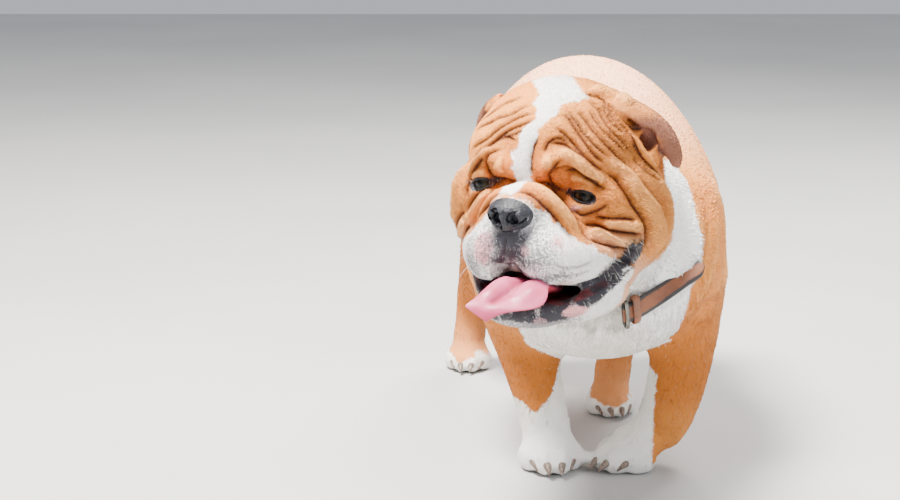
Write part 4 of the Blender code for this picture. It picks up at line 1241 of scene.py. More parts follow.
def lie_of_coat(points, region):
    """The way that the hair runs at each point."""
    local = head_points(points)
    place = design_points(points)
    turn = np.array(HEAD.to_3x3())
    head_way = local - np.array([0.0, -58.0, -8.0])
    head_way = head_way / np.linalg.norm(head_way, axis=1)[:, None]
    low = np.clip((-40.0 - local[:, 2]) / 40.0, 0, 1)[:, None]
    head_way = head_way * (1 - 0.5 * low) + np.array([0.0, 0.35, -0.6]) * low
    head_way = head_way @ turn.T
    body_way = np.tile(np.array([0.0, 1.0, -0.28]), (len(points), 1))
    front = (ramp(-place[:, 1], 40, 60) * ramp(-place[:, 2], -300, 90))[:, None]
    body_way = body_way * (1 - front) + np.array([0.0, 0.35, -1.0]) * front
    legs = np.clip((190.0 - place[:, 2]) / 60.0, 0, 1)[:, None]
    belly = (np.abs(place[:, 0]) < 60) & (place[:, 2] > 110)
    legs = np.where(belly[:, None], 0.0, legs)
    body_way = body_way * (1 - legs) + np.array([0.0, 0.15, -1.0]) * legs
    paws = np.isin(region, PAW_NODES)[:, None]
    body_way = np.where(paws, np.array([0.0, -0.55, -0.75]), body_way)
    left_ear, right_ear = (region == "ear_left")[:, None], (region == "ear_right")[:, None]
    head_way = np.where(left_ear, turn @ np.array([0.45, 0.35, -0.85]), head_way)
    head_way = np.where(right_ear, turn @ np.array([-0.45, 0.35, -0.85]), head_way)
    body_way = np.where((region == "tail")[:, None], np.array([0.0, 0.3, -1.0]), body_way)
    return np.where(near_head(local)[:, None], head_way, body_way)


def scatter(mesh, weights, count, draw):
    """Random spots on a triangle mesh, by each triangle's area and weight."""
    faces = read_rows(mesh.polygons, "vertices", 3, np.int64)
    points = points_of(mesh)
    corners = points[faces]
    area = np.linalg.norm(np.cross(corners[:, 1] - corners[:, 0], corners[:, 2] - corners[:, 0]), axis=1)
    share = area * weights[faces].mean(1)
    chosen = draw.choice(len(faces), size=count, p=share / share.sum())
    first, second = np.sqrt(draw.random(count)), draw.random(count)
    mix = np.stack([1 - first, first * (1 - second), first * second], axis=1)
    return faces[chosen], mix


def blended(values, faces, mix):
    """Values of the corners of faces, mixed for the spots on them."""
    picked = values[faces]
    if picked.ndim == 3:
        return (picked * mix[:, :, None]).sum(1)
    return (picked * mix).sum(1)


def unit(vectors):
    return vectors / np.maximum(np.linalg.norm(vectors, axis=1), 1e-9)[:, None]


def straight_tufts(roots, normals, ways, lengths, radii, lifts, draw):
    """Straight three-sided spikes, as arrays: four points and four faces each."""
    ways = unit(ways - normals * (ways * normals).sum(1)[:, None])
    side = np.cross(normals, ways)
    ways = unit(ways + side * draw.normal(0.0, 0.20, len(roots))[:, None])
    side = np.cross(normals, ways)
    ahead = unit(ways + normals * np.tan(lifts)[:, None])
    up = np.cross(ahead, side)
    start = roots - normals * (radii * 0.6)[:, None]
    corners = []
    for k in range(3):
        angle = 2 * math.pi * k / 3 + math.pi / 2
        corners.append(start + (side * math.cos(angle) + up * math.sin(angle)) * radii[:, None])
    corners.append(start + ahead * lengths[:, None])
    points = np.stack(corners, axis=1).reshape(-1, 3)
    triangles = np.array([(1, 0, 3), (2, 1, 3), (0, 2, 3), (0, 1, 2)])[None]
    return points, triangles + np.arange(len(roots))[:, None, None] * 4


def bent_tufts(roots, normals, ways, lengths, radii, lifts, curls, draw):
    """Bent three-sided spikes, as arrays of points and faces: seven points and seven faces each."""
    ways = unit(ways - normals * (ways * normals).sum(1)[:, None])
    swing = draw.normal(0.0, 0.22, len(roots))
    side = np.cross(normals, ways)
    ways = unit(ways + side * swing[:, None])
    side = np.cross(normals, ways)
    low = unit(ways + normals * np.tan(lifts)[:, None])
    high = unit(low - normals * curls[:, None])
    start = roots - normals * (radii * 0.8)[:, None]
    middle = start + low * (lengths * 0.55)[:, None]
    tip = middle + high * (lengths * 0.45)[:, None]
    points = []
    for place, radius in ((start, radii), (middle, radii * 0.72)):
        for k in range(3):
            angle = 2 * math.pi * k / 3 + math.pi / 2
            outward = side * math.cos(angle) + np.cross(side, low) * math.sin(angle)
            points.append(place + outward * radius[:, None])
    points.append(tip)
    points = np.stack(points, axis=1)
    base = np.arange(len(roots))[:, None, None] * 7
    quads = np.array([(0, 1, 4, 3), (1, 2, 5, 4), (2, 0, 3, 5)])[None] + base
    triangles = np.array([(3, 4, 6), (4, 5, 6), (5, 3, 6), (0, 2, 1)])[None] + base
    return points.reshape(-1, 3), quads, triangles


def patch_of(points, normals, region):
    """Where on an unwrap of the skin's own shape each root lies.

    Each flesh node has six cells of the map, one for each way that its surface may face.
    """
    nodes = sorted(SKIN_NODES)
    index = np.searchsorted(nodes, region)
    way = np.abs(normals).argmax(1)
    sign = (np.take_along_axis(normals, way[:, None], 1)[:, 0] > 0).astype(int)
    cell = index * 6 + way * 2 + sign
    cells = len(nodes) * 6
    columns = math.ceil(math.sqrt(cells))
    first = np.where(way == 0, 1, 0)
    second = np.where(way == 2, 1, 2)
    low = np.zeros((len(nodes), 3))
    size = np.ones((len(nodes), 3))
    for i, node in enumerate(nodes):
        corner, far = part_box(node)
        low[i] = np.array(corner) - 0.01
        size[i] = np.array(far) - np.array(corner) + 0.02
    scaled = (points - low[index]) / size[index].max(1)[:, None]
    u = np.take_along_axis(scaled, first[:, None], 1)[:, 0]
    v = np.take_along_axis(scaled, second[:, None], 1)[:, 0]
    u = (cell % columns + 0.04 + 0.92 * np.clip(u, 0, 1)) / columns
    v = (cell // columns + 0.04 + 0.92 * np.clip(v, 0, 1)) / columns
    return np.stack([u, v], axis=1)


def coat_piece(name, roots, normals, ways, sizes, fields, places, bent, draw):
    """One piece of coat from its roots, with the markings and a map."""
    lengths, radii, lifts, curls = sizes
    count = len(roots)
    if bent:
        points, quads, triangles = bent_tufts(roots, normals, ways, lengths, radii, lifts, curls, draw)
        corners = np.concatenate([quads.reshape(count, 12), triangles.reshape(count, 12)], axis=1)
        corner_counts = [4, 4, 4, 3, 3, 3, 3]
        spots = [(0, 0), (1, 0), (0.5, 1), (0.2, 0.3), (0.8, 0.3), (0.5, 0.8), (0.5, 0.5)]
    else:
        points, triangles = straight_tufts(roots, normals, ways, lengths, radii, lifts, draw)
        corners = triangles.reshape(count, 12)
        corner_counts = [3, 3, 3, 3]
        spots = [(0, 0), (1, 0), (0.5, 1), (0.5, 0.4)]
    each, sides = len(spots), corners.shape[1]
    totals = np.tile(np.array(corner_counts), count)
    starts = np.concatenate([[0], np.cumsum(totals)[:-1]])
    mesh = bpy.data.meshes.new(name)
    mesh.vertices.add(count * each)
    mesh.vertices.foreach_set("co", points.astype(np.float32).ravel())
    mesh.loops.add(count * sides)
    mesh.loops.foreach_set("vertex_index", corners.astype(np.int32).ravel())
    mesh.polygons.add(len(totals))
    mesh.polygons.foreach_set("loop_start", starts.astype(np.int32))
    mesh.polygons.foreach_set("loop_total", totals.astype(np.int32))
    mesh.update(calc_edges=True)
    for field, values in fields.items():
        store(mesh, field, np.repeat(values, each))
    store(mesh, "shade", np.repeat(draw.random(count), each))
    offsets = (np.array(spots)[corners[0] % each] - 0.5) * TUFT_PATCH
    spread = places[:, None, :] + offsets[None, :, :]
    uv = mesh.uv_layers.new(name="OFBake")
    uv.data.foreach_set("uv", spread.astype(np.float32).ravel())
    return add_object(name, mesh)


def length_of_hair(points, region, props):
    """Short on the face, paws and ears, longest on the chest and behind the elbows."""
    local = head_points(points)
    place = design_points(points)
    head = near_head(local)
    face = props.face_length * (0.75 + 0.9 * ramp(local[:, 1], -40, 120))
    body = np.full(len(points), props.body_length)
    chest = ramp(-place[:, 1], 40, 60) * ramp(-place[:, 2], -320, 60)
    body = body * (1 + 0.35 * chest)
    body = body * np.interp(place[:, 2], [0, 30, 60, 150, 200], [0.42, 0.5, 0.7, 0.85, 1.0])
    elbow = blob(place, (122, 44, 50), (18, 18, 30)) + blob(place, (-92, 62, 60), (18, 18, 30))
    body = body * (1 + 1.4 * np.clip(elbow, 0, 1))
    thin = np.isin(region, ["ear_left", "ear_right"])
    return np.where(head, np.where(thin, face * 0.5, face), body)


def hairless(points, mesh):
    """Where no hair grows: in the mouth, between the lids, on the nose and under the feet."""
    bald = (read_field(mesh, "mouth") > 0.4) | (points[:, 2] < 0.004)
    bald |= blob(head_points(points), (0, -60, -17), (27, 22, 22)) > 0.5
    for sign in (1.0, -1.0):
        eye = in_frame(eye_frame(sign), points) * 1000.0
        closeness = np.sqrt((eye[:, 0] / 13.6) ** 2 + (eye[:, 2] / 7.8) ** 2)
        bald |= (closeness < 1) & (eye[:, 1] < 4)
    return bald


class BULLDOG_OT_coat(bpy.types.Operator):
    """Covers the skin with short tufts that lie along the body"""

    bl_idname = "bulldog.coat"
    bl_label = "Coat"

    def execute(self, context):
        props = props_of("bulldog_coat")
        skin = bpy.data.objects["bulldog_skin"]
        mesh = skin.data
        draw = np.random.default_rng(props.seed)
        points, normals = points_of(mesh), normals_of(mesh)
        head = near_head(head_points(points))
        # The markings of the skin, with its painted shade and highlights, for the tufts
        names = ["white", "dark", "grey", "pink", "pale_and_highlight", "painted_shade", "painted_fold_shading", "crease_shade", "ear"]
        fields = {name: read_field(mesh, name) for name in names}
        cover = np.where(hairless(points, mesh), 0.0, 1.0 - ramp(fields["dark"], 0.45, 0.25))
        material = coat_material(props_of("bulldog_colours"))
        quick = 1.0
        for part, chosen, total in (("head", head, props.head_tufts), ("body", ~head, props.body_tufts)):
            thickness, lift, most = TUFTS[part]
            count = int(total * quick)
            faces, mix = scatter(mesh, np.where(chosen, cover, 0.0), count, draw)
            roots = blended(points, faces, mix)
            outward = unit(blended(normals, faces, mix))
            region = region_of_points(roots)
            rooted = {name: blended(values, faces, mix) for name, values in fields.items()}
            lengths = length_of_hair(roots, region, props) * draw.uniform(0.7, 1.25, count)
            radii = lengths * thickness
            lifts = np.radians(draw.normal(lift, 3.0, count).clip(3, 40))
            curls = draw.uniform(0.15, 0.45, count)
            ways = lie_of_coat(roots, region)
            places = patch_of(roots, outward, region)
            order = np.argsort(roots[:, 0], kind="stable")
            for i, some in enumerate(np.array_split(order, math.ceil(count / most))):
                sizes = (lengths[some], radii[some], lifts[some], curls[some])
                picked = {name: values[some] for name, values in rooted.items()}
                piece = coat_piece(
                    f"coat_{part}_{i + 1}", roots[some], outward[some], ways[some], sizes,
                    picked, places[some], part == "body", draw,
                )
                finish_piece(piece, material, "coat")
        return {"FINISHED"}


# Eyes, nose, tongue, claws and whiskers


def eye_material(colours):
    graph = Graph("bulldog_eye")
    angle = graph.attribute("gaze")
    iris = graph.between(graph.noise(700.0, 3.0, 0.6), 0.35, 0.7, colours.iris, IRIS_STREAKS)
    white = graph.between(graph.noise(240.0, 4.0), 0.45, 0.75, EYE_WHITE, EYE_VEINS)
    colour = graph.between(angle, 0.62, 0.70, iris, IRIS_EDGE)
    colour = graph.between(angle, 0.80, 0.90, colour, white)
    colour = graph.between(angle, 0.36, 0.30, colour, PUPIL)
    graph.set(
        Base_Color=colour, Roughness=0.08, Normal=graph.bump(graph.noise(90.0, 2.0), 0.05, 0.0004),
        Specular_IOR_Level=0.10, Coat_Weight=0.22, Coat_Roughness=0.02, Coat_IOR=1.3,
    )
    return graph.material


def make_eye(side, sign, colours):
    """An eyeball with a bulging cornea, and each point's angle from the middle of the gaze."""
    place = eye_frame(sign)
    bm = bmesh.new()
    bmesh.ops.create_icosphere(bm, subdivisions=5, radius=EYE_RADIUS)
    gaze = Vector((-sign * 0.05 - 0.02, -1.0, -0.06)).normalized()
    angles = []
    for vert in bm.verts:
        angle = vert.co.angle(gaze)
        angles.append(angle)
        bulge = max(0.0, 1 - (angle / CORNEA_ANGLE) ** 2)
        vert.co += vert.co.normalized() * CORNEA_RISE * bulge
    bmesh.ops.transform(bm, matrix=place, verts=bm.verts)
    obj = object_from("eyeball_" + side, bm)
    store(obj.data, "gaze", np.array(angles))
    finish_piece(obj, eye_material(colours), "eye", "eye_" + side)


def lid_material():
    graph = Graph("eyelid")
    patches = graph.remap(graph.noise(150.0), 0.35, 0.7)
    graph.set(
        Base_Color=graph.mix(patches, LID_DARK, LID_LIGHT),
        Roughness=graph.remap(patches, 0.0, 1.0, 0.35, 0.5), Specular_IOR_Level=0.2,
        Normal=graph.bump(graph.noise(900.0, 2.0), 0.3, 0.0004),
    )
    return graph.material


def lid_ring(sign):
    """The wet, dark rims of both lids of one eye, lying on the eyeball."""
    place = eye_frame(sign)
    path, radii = [], []
    steps = 24
    for k in range(2 * steps):
        upper = k < steps
        u = -1 + 2 * (k / steps) if upper else 1 - 2 * ((k - steps) / steps)
        rise, fall = lid_edges(u)
        spot = Vector((sign * u * LID_HALF_LENGTH, 0.0, rise if upper else -fall))
        depth = math.sqrt(max((EYE_RADIUS + RIM_GAP) ** 2 - spot.x**2 - spot.z**2, 1e-6))
        spot.y = -max(depth, 0.0045)
        path.append(place @ spot)
        radii.append((UPPER_RIM if upper else LOWER_RIM) * (1 - 0.25 * abs(u)))
    return tube(path, radii, sides=8, closed_path=True)


class BULLDOG_OT_eyes(bpy.types.Operator):
    """Makes the eyeballs and the rims of their lids"""

    bl_idname = "bulldog.eyes"
    bl_label = "Eyes"

    def execute(self, context):
        colours = props_of("bulldog_colours")
        material = lid_material()
        for side, sign in (("left", 1.0), ("right", -1.0)):
            make_eye(side, sign, colours)
            rim = lid_ring(sign)
            rim.name = "eyelid_rim_" + side
            finish_piece(rim, material, "coat")
        return {"FINISHED"}


def nose_material():
    graph = Graph("nose_leather")
    broad = graph.remap(graph.noise(70.0), 0.3, 0.75)
    hollow = graph.attribute("hollow")
    freckles = graph.remap(graph.noise(520.0, 3.0, 0.7), 0.5, 0.72, 0.0, 0.55)
    colour = graph.mix(freckles, graph.mix(broad, NOSE_DARK, NOSE_LIGHT), NOSE_FRECKLES)
    pebbles = graph.bump(graph.cells(620.0), 0.55, 0.0007)
    graph.set(
        # Painted shade in the nostrils, by the depth of each hollow
        Base_Color=graph.mix(hollow, colour, NOSTRIL_SHADE),
        Roughness=graph.remap(broad, 0.0, 1.0, 0.42, 0.58),
        Specular_IOR_Level=graph.remap(hollow, 0.0, 0.6, 0.3, 0.0),
        Normal=graph.bump(graph.noise(1600.0, 2.0), 0.2, 0.0003, pebbles),
    )
    return graph.material


# Nostrils, groove and wings of the nose, as the folds of the head
NOSE_FOLDS = [
    (-13.0, 2.7, [(8, -72, -11), (10, -74, -17), (9.5, -73, -22), (8, -72, -26)]),
    (-6.5, 1.7, [(8, -72, -26), (14, -69, -28), (20, -64, -25), (24, -59, -19)]),
    (-13.0, 2.7, [(-9, -73, -11), (-11, -74, -17), (-10.5, -73, -22), (-9, -72, -26)]),
    (-6.5, 1.7, [(-9, -72, -26), (-15, -69, -28), (-21, -63, -25), (-26, -57, -18)]),
    (-2.4, 1.0, [(-0.5, -75, -8), (-0.5, -76, -16), (-0.5, -75, -24), (-0.5, -71, -33)]),
    (1.4, 3.4, [(15, -70, -12), (18, -68, -18)]),
    (1.4, 3.4, [(-15, -70, -12), (-19, -67, -18)]),
]


class BULLDOG_OT_nose(bpy.types.Operator):
    """Makes the nose leather with its nostrils"""

    bl_idname = "bulldog.nose"
    bl_label = "Nose"

    def execute(self, context):
        obj = copy_of_nodes("nose_leather", ["nose"], 0.0006)
        remesh(obj, 0.0009, 5)
        points, normals = points_of(obj.data), normals_of(obj.data)
        lift, pull, _, _ = fold_field(tree_of(obj), points, normals, NOSE_FOLDS, HEAD_TABLES, 0.0006)
        set_points(obj.data, points + normals * lift[:, None] + pull)
        # How much painted shade lies in the nostrils
        store(obj.data, "hollow", np.clip(-lift / 0.0030 - 0.35, 0.0, 1.0))
        finish_piece(obj, nose_material(), "nose_leather", "nose")
        return {"FINISHED"}


def tongue_material(colours):
    graph = Graph("wet_tongue")
    broad = graph.remap(graph.noise(55.0), 0.3, 0.75)
    colour = graph.mix(broad, colours.tongue, TONGUE_LIGHT)
    # Painted shade along the groove
    colour = graph.mix(graph.attribute("groove"), colour, TONGUE_GROOVE_SHADE)
    buds = graph.bump(graph.cells(900.0), 0.28, 0.0005)
    graph.set(
        # Painted shade on the underside and at the back, inside the mouth
        Base_Color=graph.mix(graph.attribute("under"), colour, TONGUE_SHADE),
        Roughness=graph.remap(broad, 0.0, 1.0, 0.38, 0.52),
        Normal=graph.bump(graph.noise(120.0), 0.2, 0.0012, buds),
        Subsurface_Weight=0.20, Subsurface_Scale=0.004, Subsurface_Radius=(1.0, 0.35, 0.25),
        Coat_Weight=0.10, Coat_Roughness=0.15,
    )
    return graph.material


# Sections of the tongue in the head's frame, in millimetres: its left edge, its right edge and thickness
TONGUE_SECTIONS = [
    ((26, 24, -104), (-20, 24, -104), 15),
    ((34, -16, -100), (-20, -18, -98), 15),
    ((36, -44, -91), (-15, -50, -87), 12),
    ((41, -58, -87), (-13, -66, -82), 9),
    ((47, -70, -97), (-15, -80, -86), 7.5),
    ((44, -80, -105), (-16, -92, -90), 6.5),
    ((32, -92, -106), (-18, -104, -94), 5.2),
    ((18, -102, -106.5), (-20, -112, -96.5), 4.2),
    ((6.5, -109, -110.5), (-21, -116, -98), 3.4),
    ((0, -113.5, -115.5), (-22, -118, -100), 2.8),
    ((-1, -114.2, -116.2), (-22.6, -118.6, -100.6), 2.4),
]


# The groove along the middle of the tongue, and a low ridge on each side of it
TONGUE_FOLDS = [
    (-8.0, 3.8, [(12, -20, -90), (13, -50, -85), (11, -70, -87), (4, -92, -95), (-8, -112, -104)]),
    (2.6, 8.0, [(27, -50, -86), (29, -70, -92), (20, -92, -100)]),
    (2.6, 7.0, [(-1, -60, -83), (-5, -80, -88), (-9, -100, -95)]),
]


class BULLDOG_OT_tongue(bpy.types.Operator):
    """Makes the wet tongue, with its groove and the low ridges beside it"""

    bl_idname = "bulldog.tongue"
    bl_label = "Tongue"

    def execute(self, context):
        rings = []
        for i, (left, right, thick) in enumerate(TONGUE_SECTIONS):
            left, right = Vector(left) / 1000.0, Vector(right) / 1000.0
            across = (left - right) / 2
            before = TONGUE_SECTIONS[max(i - 1, 0)]
            after = TONGUE_SECTIONS[min(i + 1, len(TONGUE_SECTIONS) - 1)]
            ahead = Vector(after[0]) + Vector(after[1]) - Vector(before[0]) - Vector(before[1])
            up = across.cross(ahead).normalized() * (thick / 2000.0)
            if up.z < 0:
                up = -up
            rings.append((HEAD @ ((left + right) / 2), HEAD.to_3x3() @ across, HEAD.to_3x3() @ up))
        obj = rings_loft(rings, sides=20, levels=2)
        obj.name = "tongue_pink"
        mesh = obj.data
        points, normals = points_of(mesh), normals_of(mesh)
        local = head_points(points)
        lift, _, _, crease_shade = fold_field(tree_of(obj), points, normals, TONGUE_FOLDS, HEAD_TABLES, 0.002)
        facing = normals @ np.array(HEAD.to_3x3() @ Vector((0, 0, 1)))
        top = facing > 0.15
        set_points(mesh, points + normals * np.where(top, lift, 0.0)[:, None])
        # Painted shade on the underside and towards the back, inside the mouth
        under = np.clip(0.35 - facing, 0, 1)
        painted_shade = ramp(local[:, 1], -50, 40)
        # Painted shade along the groove, from the shade beside its crease
        store(mesh, "groove", np.where(top, 0.8 * crease_shade, 0.0))
        store(mesh, "under", np.clip(np.maximum(under, 0.7 * painted_shade), 0, 1))
        finish_piece(obj, tongue_material(props_of("bulldog_colours")), "tongue", "tongue")
        return {"FINISHED"}


# Each paw's place in the part's frame before its last centring, its heading in degrees and its size
PAWS = {
    "forepaw_right": (Vector((-0.050, -0.020, 0.0)), 4.0, 1.0),
    "forepaw_left": (Vector((0.036, -0.018, 0.0)), -50.0, 1.0),
    "hindpaw_right": (Vector((-0.141, 0.440, 0.0)), -6.0, 0.86),
    "hindpaw_left": (Vector((0.036, 0.216, 0.0)), 8.0, 0.86),
}
# Where the toes start on a forepaw, and how far their tips lie from there
TOES = [(-0.026, -0.002), (-0.0095, -0.020), (0.0095, -0.020), (0.026, -0.002)]
TOE_REACH = 0.0225


def claw_material():
    graph = Graph("claw_horn")
    along = graph.noise(420.0, 3.0, 0.6, stretch=(1.0, 1.0, 0.25))
    graph.set(
        Base_Color=graph.between(along, 0.3, 0.7, CLAW_DARK, CLAW_LIGHT),
        Roughness=graph.remap(along, 0.0, 1.0, 0.30, 0.45), Normal=graph.bump(along, 0.25, 0.0004),
    )
    return graph.material


class BULLDOG_OT_claws(bpy.types.Operator):
    """Makes the claws of all four paws"""

    bl_idname = "bulldog.claws"
    bl_label = "Claws"

    def execute(self, context):
        pieces = []
        for place, heading, scale in PAWS.values():
            turn = Matrix.Rotation(math.radians(heading), 4, "Z")
            paw = Matrix.Translation(place + SHIFT) @ turn @ Matrix.Scale(scale, 4)
            for x, y in TOES:
                fan = Matrix.Rotation(math.radians(-x * 480), 4, "Z")
                toe = paw @ Matrix.Translation((x, y, 0.0)) @ fan
                path, radii = [], []
                for k in range(7):
                    t = k / 6
                    height = 0.0155 - 0.002 * t - 0.0068 * t * t
                    path.append(toe @ Vector((0.0, -TOE_REACH + 0.008 - 0.0168 * t, height)))
                    radii.append(scale * (0.0046 * (1 - t**1.6) + 0.0007))
                pieces.append(tube(path, radii, sides=10))
        obj = join("claws", pieces)
        finish_piece(obj, claw_material(), "nose_leather")
        return {"FINISHED"}


def whisker_material():
    graph = Graph("whisker")
    colour = graph.between(graph.noise(40.0, 1.0), 0.45, 0.6, WHISKER_LIGHT, WHISKER_DARK)
    graph.set(Base_Color=colour, Roughness=0.4)
    return graph.material


# Where whiskers grow, in the head's frame in millimetres, with how many, their spread and their length
WHISKER_BEDS = [
    ((52, -50, -62), 8, 16, 20), ((-44, -52, -58), 8, 14, 24), ((84, 0, -78), 20, 12, 14),
    ((70, -18, -112), 8, 12, 12), ((-70, -18, -112), 8, 12, 12), ((98, 18, -66), 20, 10, 14),
]
# Radii of a whisker from its root to its tip
WHISKER_RADII = [0.00019, 0.00017, 0.00014, 0.00009, 0.00004]


class BULLDOG_OT_whiskers(bpy.types.Operator):
    """Sets single long whiskers on the lips, the cheeks and the jaw"""

    bl_idname = "bulldog.whiskers"
    bl_label = "Whiskers"

    def execute(self, context):
        draw = np.random.default_rng(props_of("bulldog_coat").seed + 1)
        tree = tree_of(bpy.data.objects["bulldog_skin"])
        pieces = []
        for centre, count, spread, length in WHISKER_BEDS:
            for _ in range(count):
                spot = Vector(centre) + Vector(draw.uniform(-spread, spread, 3).tolist())
                root, normal, _, _ = tree.find_nearest(HEAD @ (spot / 1000.0))
                back = HEAD.to_3x3() @ Vector((0.25 * math.copysign(1, centre[0]), 0.55, -0.75))
                way = (normal * 0.9 + back * 0.8 + Vector(draw.normal(0, 0.22, 3).tolist())).normalized()
                reach = length / 1000.0 * draw.uniform(0.6, 1.2)
                sag = HEAD.to_3x3() @ Vector((0.0, 0.3, -0.5))
                path = []
                for k in range(len(WHISKER_RADII)):
                    t = k / (len(WHISKER_RADII) - 1)
                    path.append(root - normal * 0.0006 + way * reach * t + sag * reach * 0.5 * t * t)
                pieces.append(tube(path, WHISKER_RADII, sides=4))
        obj = join("whiskers", pieces)
        finish_piece(obj, whisker_material(), "coat")
        return {"FINISHED"}


# The collar

# The collar's middle and axis, and its free end's path, in the part's frame before its last centring
COLLAR_CENTRE = Vector((-0.030, -0.095, 0.298))
COLLAR_AXIS = Vector((-0.18, -0.83, 0.52)).normalized()
STRAP_WIDTH = 0.022
STRAP_THICKNESS = 0.0035
# The way of the free end's width at its root and at its tip
STRAP_TILT = Vector((-0.10, -0.30, 0.95)).normalized()
STRAP_TIP_TILT = Vector((-0.10, 0.72, 0.60)).normalized()
# How deep the band lies in the fur of the neck's left side, and how far it stands off its solid
FUR_OVER_BAND = 0.0085
BAND_GAP = 0.0004
# How far along the free end each lies, half its height and half its depth, and its bar's half sizes
KEEPER = (0.016, STRAP_WIDTH / 2 + 0.0042, 0.0042, 0.0012, 0.0045)
BUCKLE = (0.004, STRAP_WIDTH / 2 + 0.0045, 0.0045, 0.0018, 0.0022)
# The corners of both are round: 1 is an ellipse and 0 a box
FRAME_ROUNDNESS = 0.45
# The length over which the strap's tip is rounded
STRAP_TIP_LENGTH = 0.010
# Corners of the strap's section, as shares of half its width and half its thickness
STRAP_SECTION = [
    (1, 0.55), (0.93, 1), (0.45, 1.12), (-0.45, 1.12), (-0.93, 1), (-1, 0.55),
    (-1, -0.55), (-0.93, -1), (-0.45, -1), (0.45, -1), (0.93, -1), (1, -0.55),
]
STRAP_PATH = [
    (0.018, -0.160, 0.212), (0.036, -0.153, 0.219), (0.060, -0.141, 0.231),
    (0.088, -0.124, 0.245), (0.110, -0.108, 0.255),
]


def leather_material(colours):
    graph = Graph("collar_leather")
    broad = graph.noise(45.0, 4.0, 0.6)
    fine = graph.noise(900.0, 3.0, 0.6)
    colour = graph.between(broad, 0.35, 0.7, colours.leather, LEATHER_DARK)
    colour = graph.mix(graph.remap(fine, 0.55, 0.8, 0.0, 0.4), colour, LEATHER_WORN)
    wander = graph.math("MULTIPLY", graph.math("SUBTRACT", broad, 0.5), 0.7)
    worn = graph.math("ADD", graph.attribute("rim"), wander)
    grain = graph.bump(graph.cells(1100.0), 0.35, 0.0005)
    graph.set(
        Base_Color=graph.between(worn, 0.25, 0.5, colour, LEATHER_RIM),
        Roughness=graph.remap(broad, 0.2, 0.8, 0.42, 0.62), Normal=graph.bump(broad, 0.3, 0.0012, grain),
    )
    return graph.material


def metal_material():
    graph = Graph("buckle_metal")
    broad = graph.noise(180.0, 4.0, 0.6)
    graph.set(
        Base_Color=graph.between(broad, 0.4, 0.7, METAL_LIGHT, METAL_DARK), Metallic=1.0,
        Roughness=graph.remap(broad, 0.3, 0.8, 0.25, 0.5),
        Normal=graph.bump(graph.noise(1500.0, 2.0), 0.15, 0.0002),
    )
    return graph.material


def strap_ring(centre, width, thick):
    """Corners round a strap's section, from half vectors across and through it."""
    return [(centre + width * a + thick * b, abs(a)) for a, b in STRAP_SECTION]


def strap_mesh(name, sections, closed_path):
    """A strap through sections of corners, with how near each corner is to the strap's edge."""
    bm = bmesh.new()
    loops, rims = [], []
    for corners in sections:
        verts = [bm.verts.new(point) for point, _ in corners]
        rims += [1.0 if edge > 0.9 else 0.0 for _, edge in corners]
        loops.append([bm.edges.new((verts[i - 1], verts[i])) for i in range(len(verts))])
    bridge_rings(bm, loops, closed_path)
    obj = object_from(name, bm)
    store(obj.data, "rim", np.array(rims))
    return obj


def collar_loop():
    """Distances from the collar's middle to the outside of its solid, evened out."""
    tree = tree_of(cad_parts["collar_band"])
    centre = COLLAR_CENTRE + SHIFT
    across = COLLAR_AXIS.cross(Vector((0.0, 0.0, 1.0))).normalized()
    up = across.cross(COLLAR_AXIS)
    steps = 160
    ways, reach = [], []
    for i in range(steps):
        angle = 2 * math.pi * i / steps
        way = across * math.cos(angle) + up * math.sin(angle)
        hit = tree.ray_cast(centre + way * 0.3, -way)[0]
        ways.append(way)
        reach.append((hit - centre).length)
    even = [sum(reach[(i + k) % steps] for k in range(-6, 7)) / 13 for i in range(steps)]
    return centre, ways, even


def collar_band_piece():
    """The band, which lies in the fur on the neck's left side but not on top."""
    centre, ways, even = collar_loop()
    sections = []
    for way, reach in zip(ways, even):
        on_left = min(1.0, 2.5 * max(0.0, way.x))
        below_top = min(1.0, 1.6 * max(0.0, 1.05 - max(0.0, way.z)))
        depth = FUR_OVER_BAND * on_left * below_top + STRAP_THICKNESS / 2 - BAND_GAP
        middle = centre + way * (reach - depth)
        sections.append(strap_ring(middle, COLLAR_AXIS * (STRAP_WIDTH / 2), way * (STRAP_THICKNESS / 2)))
    return strap_mesh("collar_strap", sections, True)


def strap_end_piece():
    """The free end, which twists towards its rounded tip."""
    path = [Vector(point) + SHIFT for point in STRAP_PATH]
    sections = []
    fine = [start.lerp(end, k / 8) for start, end in zip(path, path[1:]) for k in range(8)]
    fine.append(path[-1])
    length = sum((b - a).length for a, b in zip(fine, fine[1:]))
    run = 0.0
    for i, point in enumerate(fine):
        ahead = (fine[min(i + 1, len(fine) - 1)] - fine[max(i - 1, 0)]).normalized()
        tilt = STRAP_TILT.slerp(STRAP_TIP_TILT, min(1.0, 1.3 * run / length))
        out = ahead.cross(tilt).normalized()
        left = length - run
        round_tip = math.sqrt(max(0.0, 1 - max(0.0, 1 - left / STRAP_TIP_LENGTH) ** 2))
        half = tilt * (STRAP_WIDTH / 2) * max(round_tip, 0.25)
        sections.append(strap_ring(point, half, out * (STRAP_THICKNESS / 2)))
        if i + 1 < len(fine):
            run += (fine[i + 1] - point).length
    return strap_mesh("collar_strap_tip", sections, False)


def frame_round_strap(along, half_height, depth, radius, width):
    """A closed rounded frame round the strap's free end."""
    path = [Vector(point) + SHIFT for point in STRAP_PATH]
    ahead = (path[1] - path[0]).normalized()
    out = ahead.cross(STRAP_TILT).normalized()
    centre = path[0] + ahead * along
    rings = []
    steps = 48
    for i in range(steps):
        angle = 2 * math.pi * i / steps
        flat = math.copysign(abs(math.cos(angle)) ** FRAME_ROUNDNESS, math.cos(angle))
        tall = math.copysign(abs(math.sin(angle)) ** FRAME_ROUNDNESS, math.sin(angle))
        outward = (STRAP_TILT * flat + out * tall).normalized()
        middle = centre + STRAP_TILT * flat * half_height + out * tall * depth
        rings.append((middle, outward * radius, ahead * width))
    return rings_loft(rings, sides=10, closed_path=True)


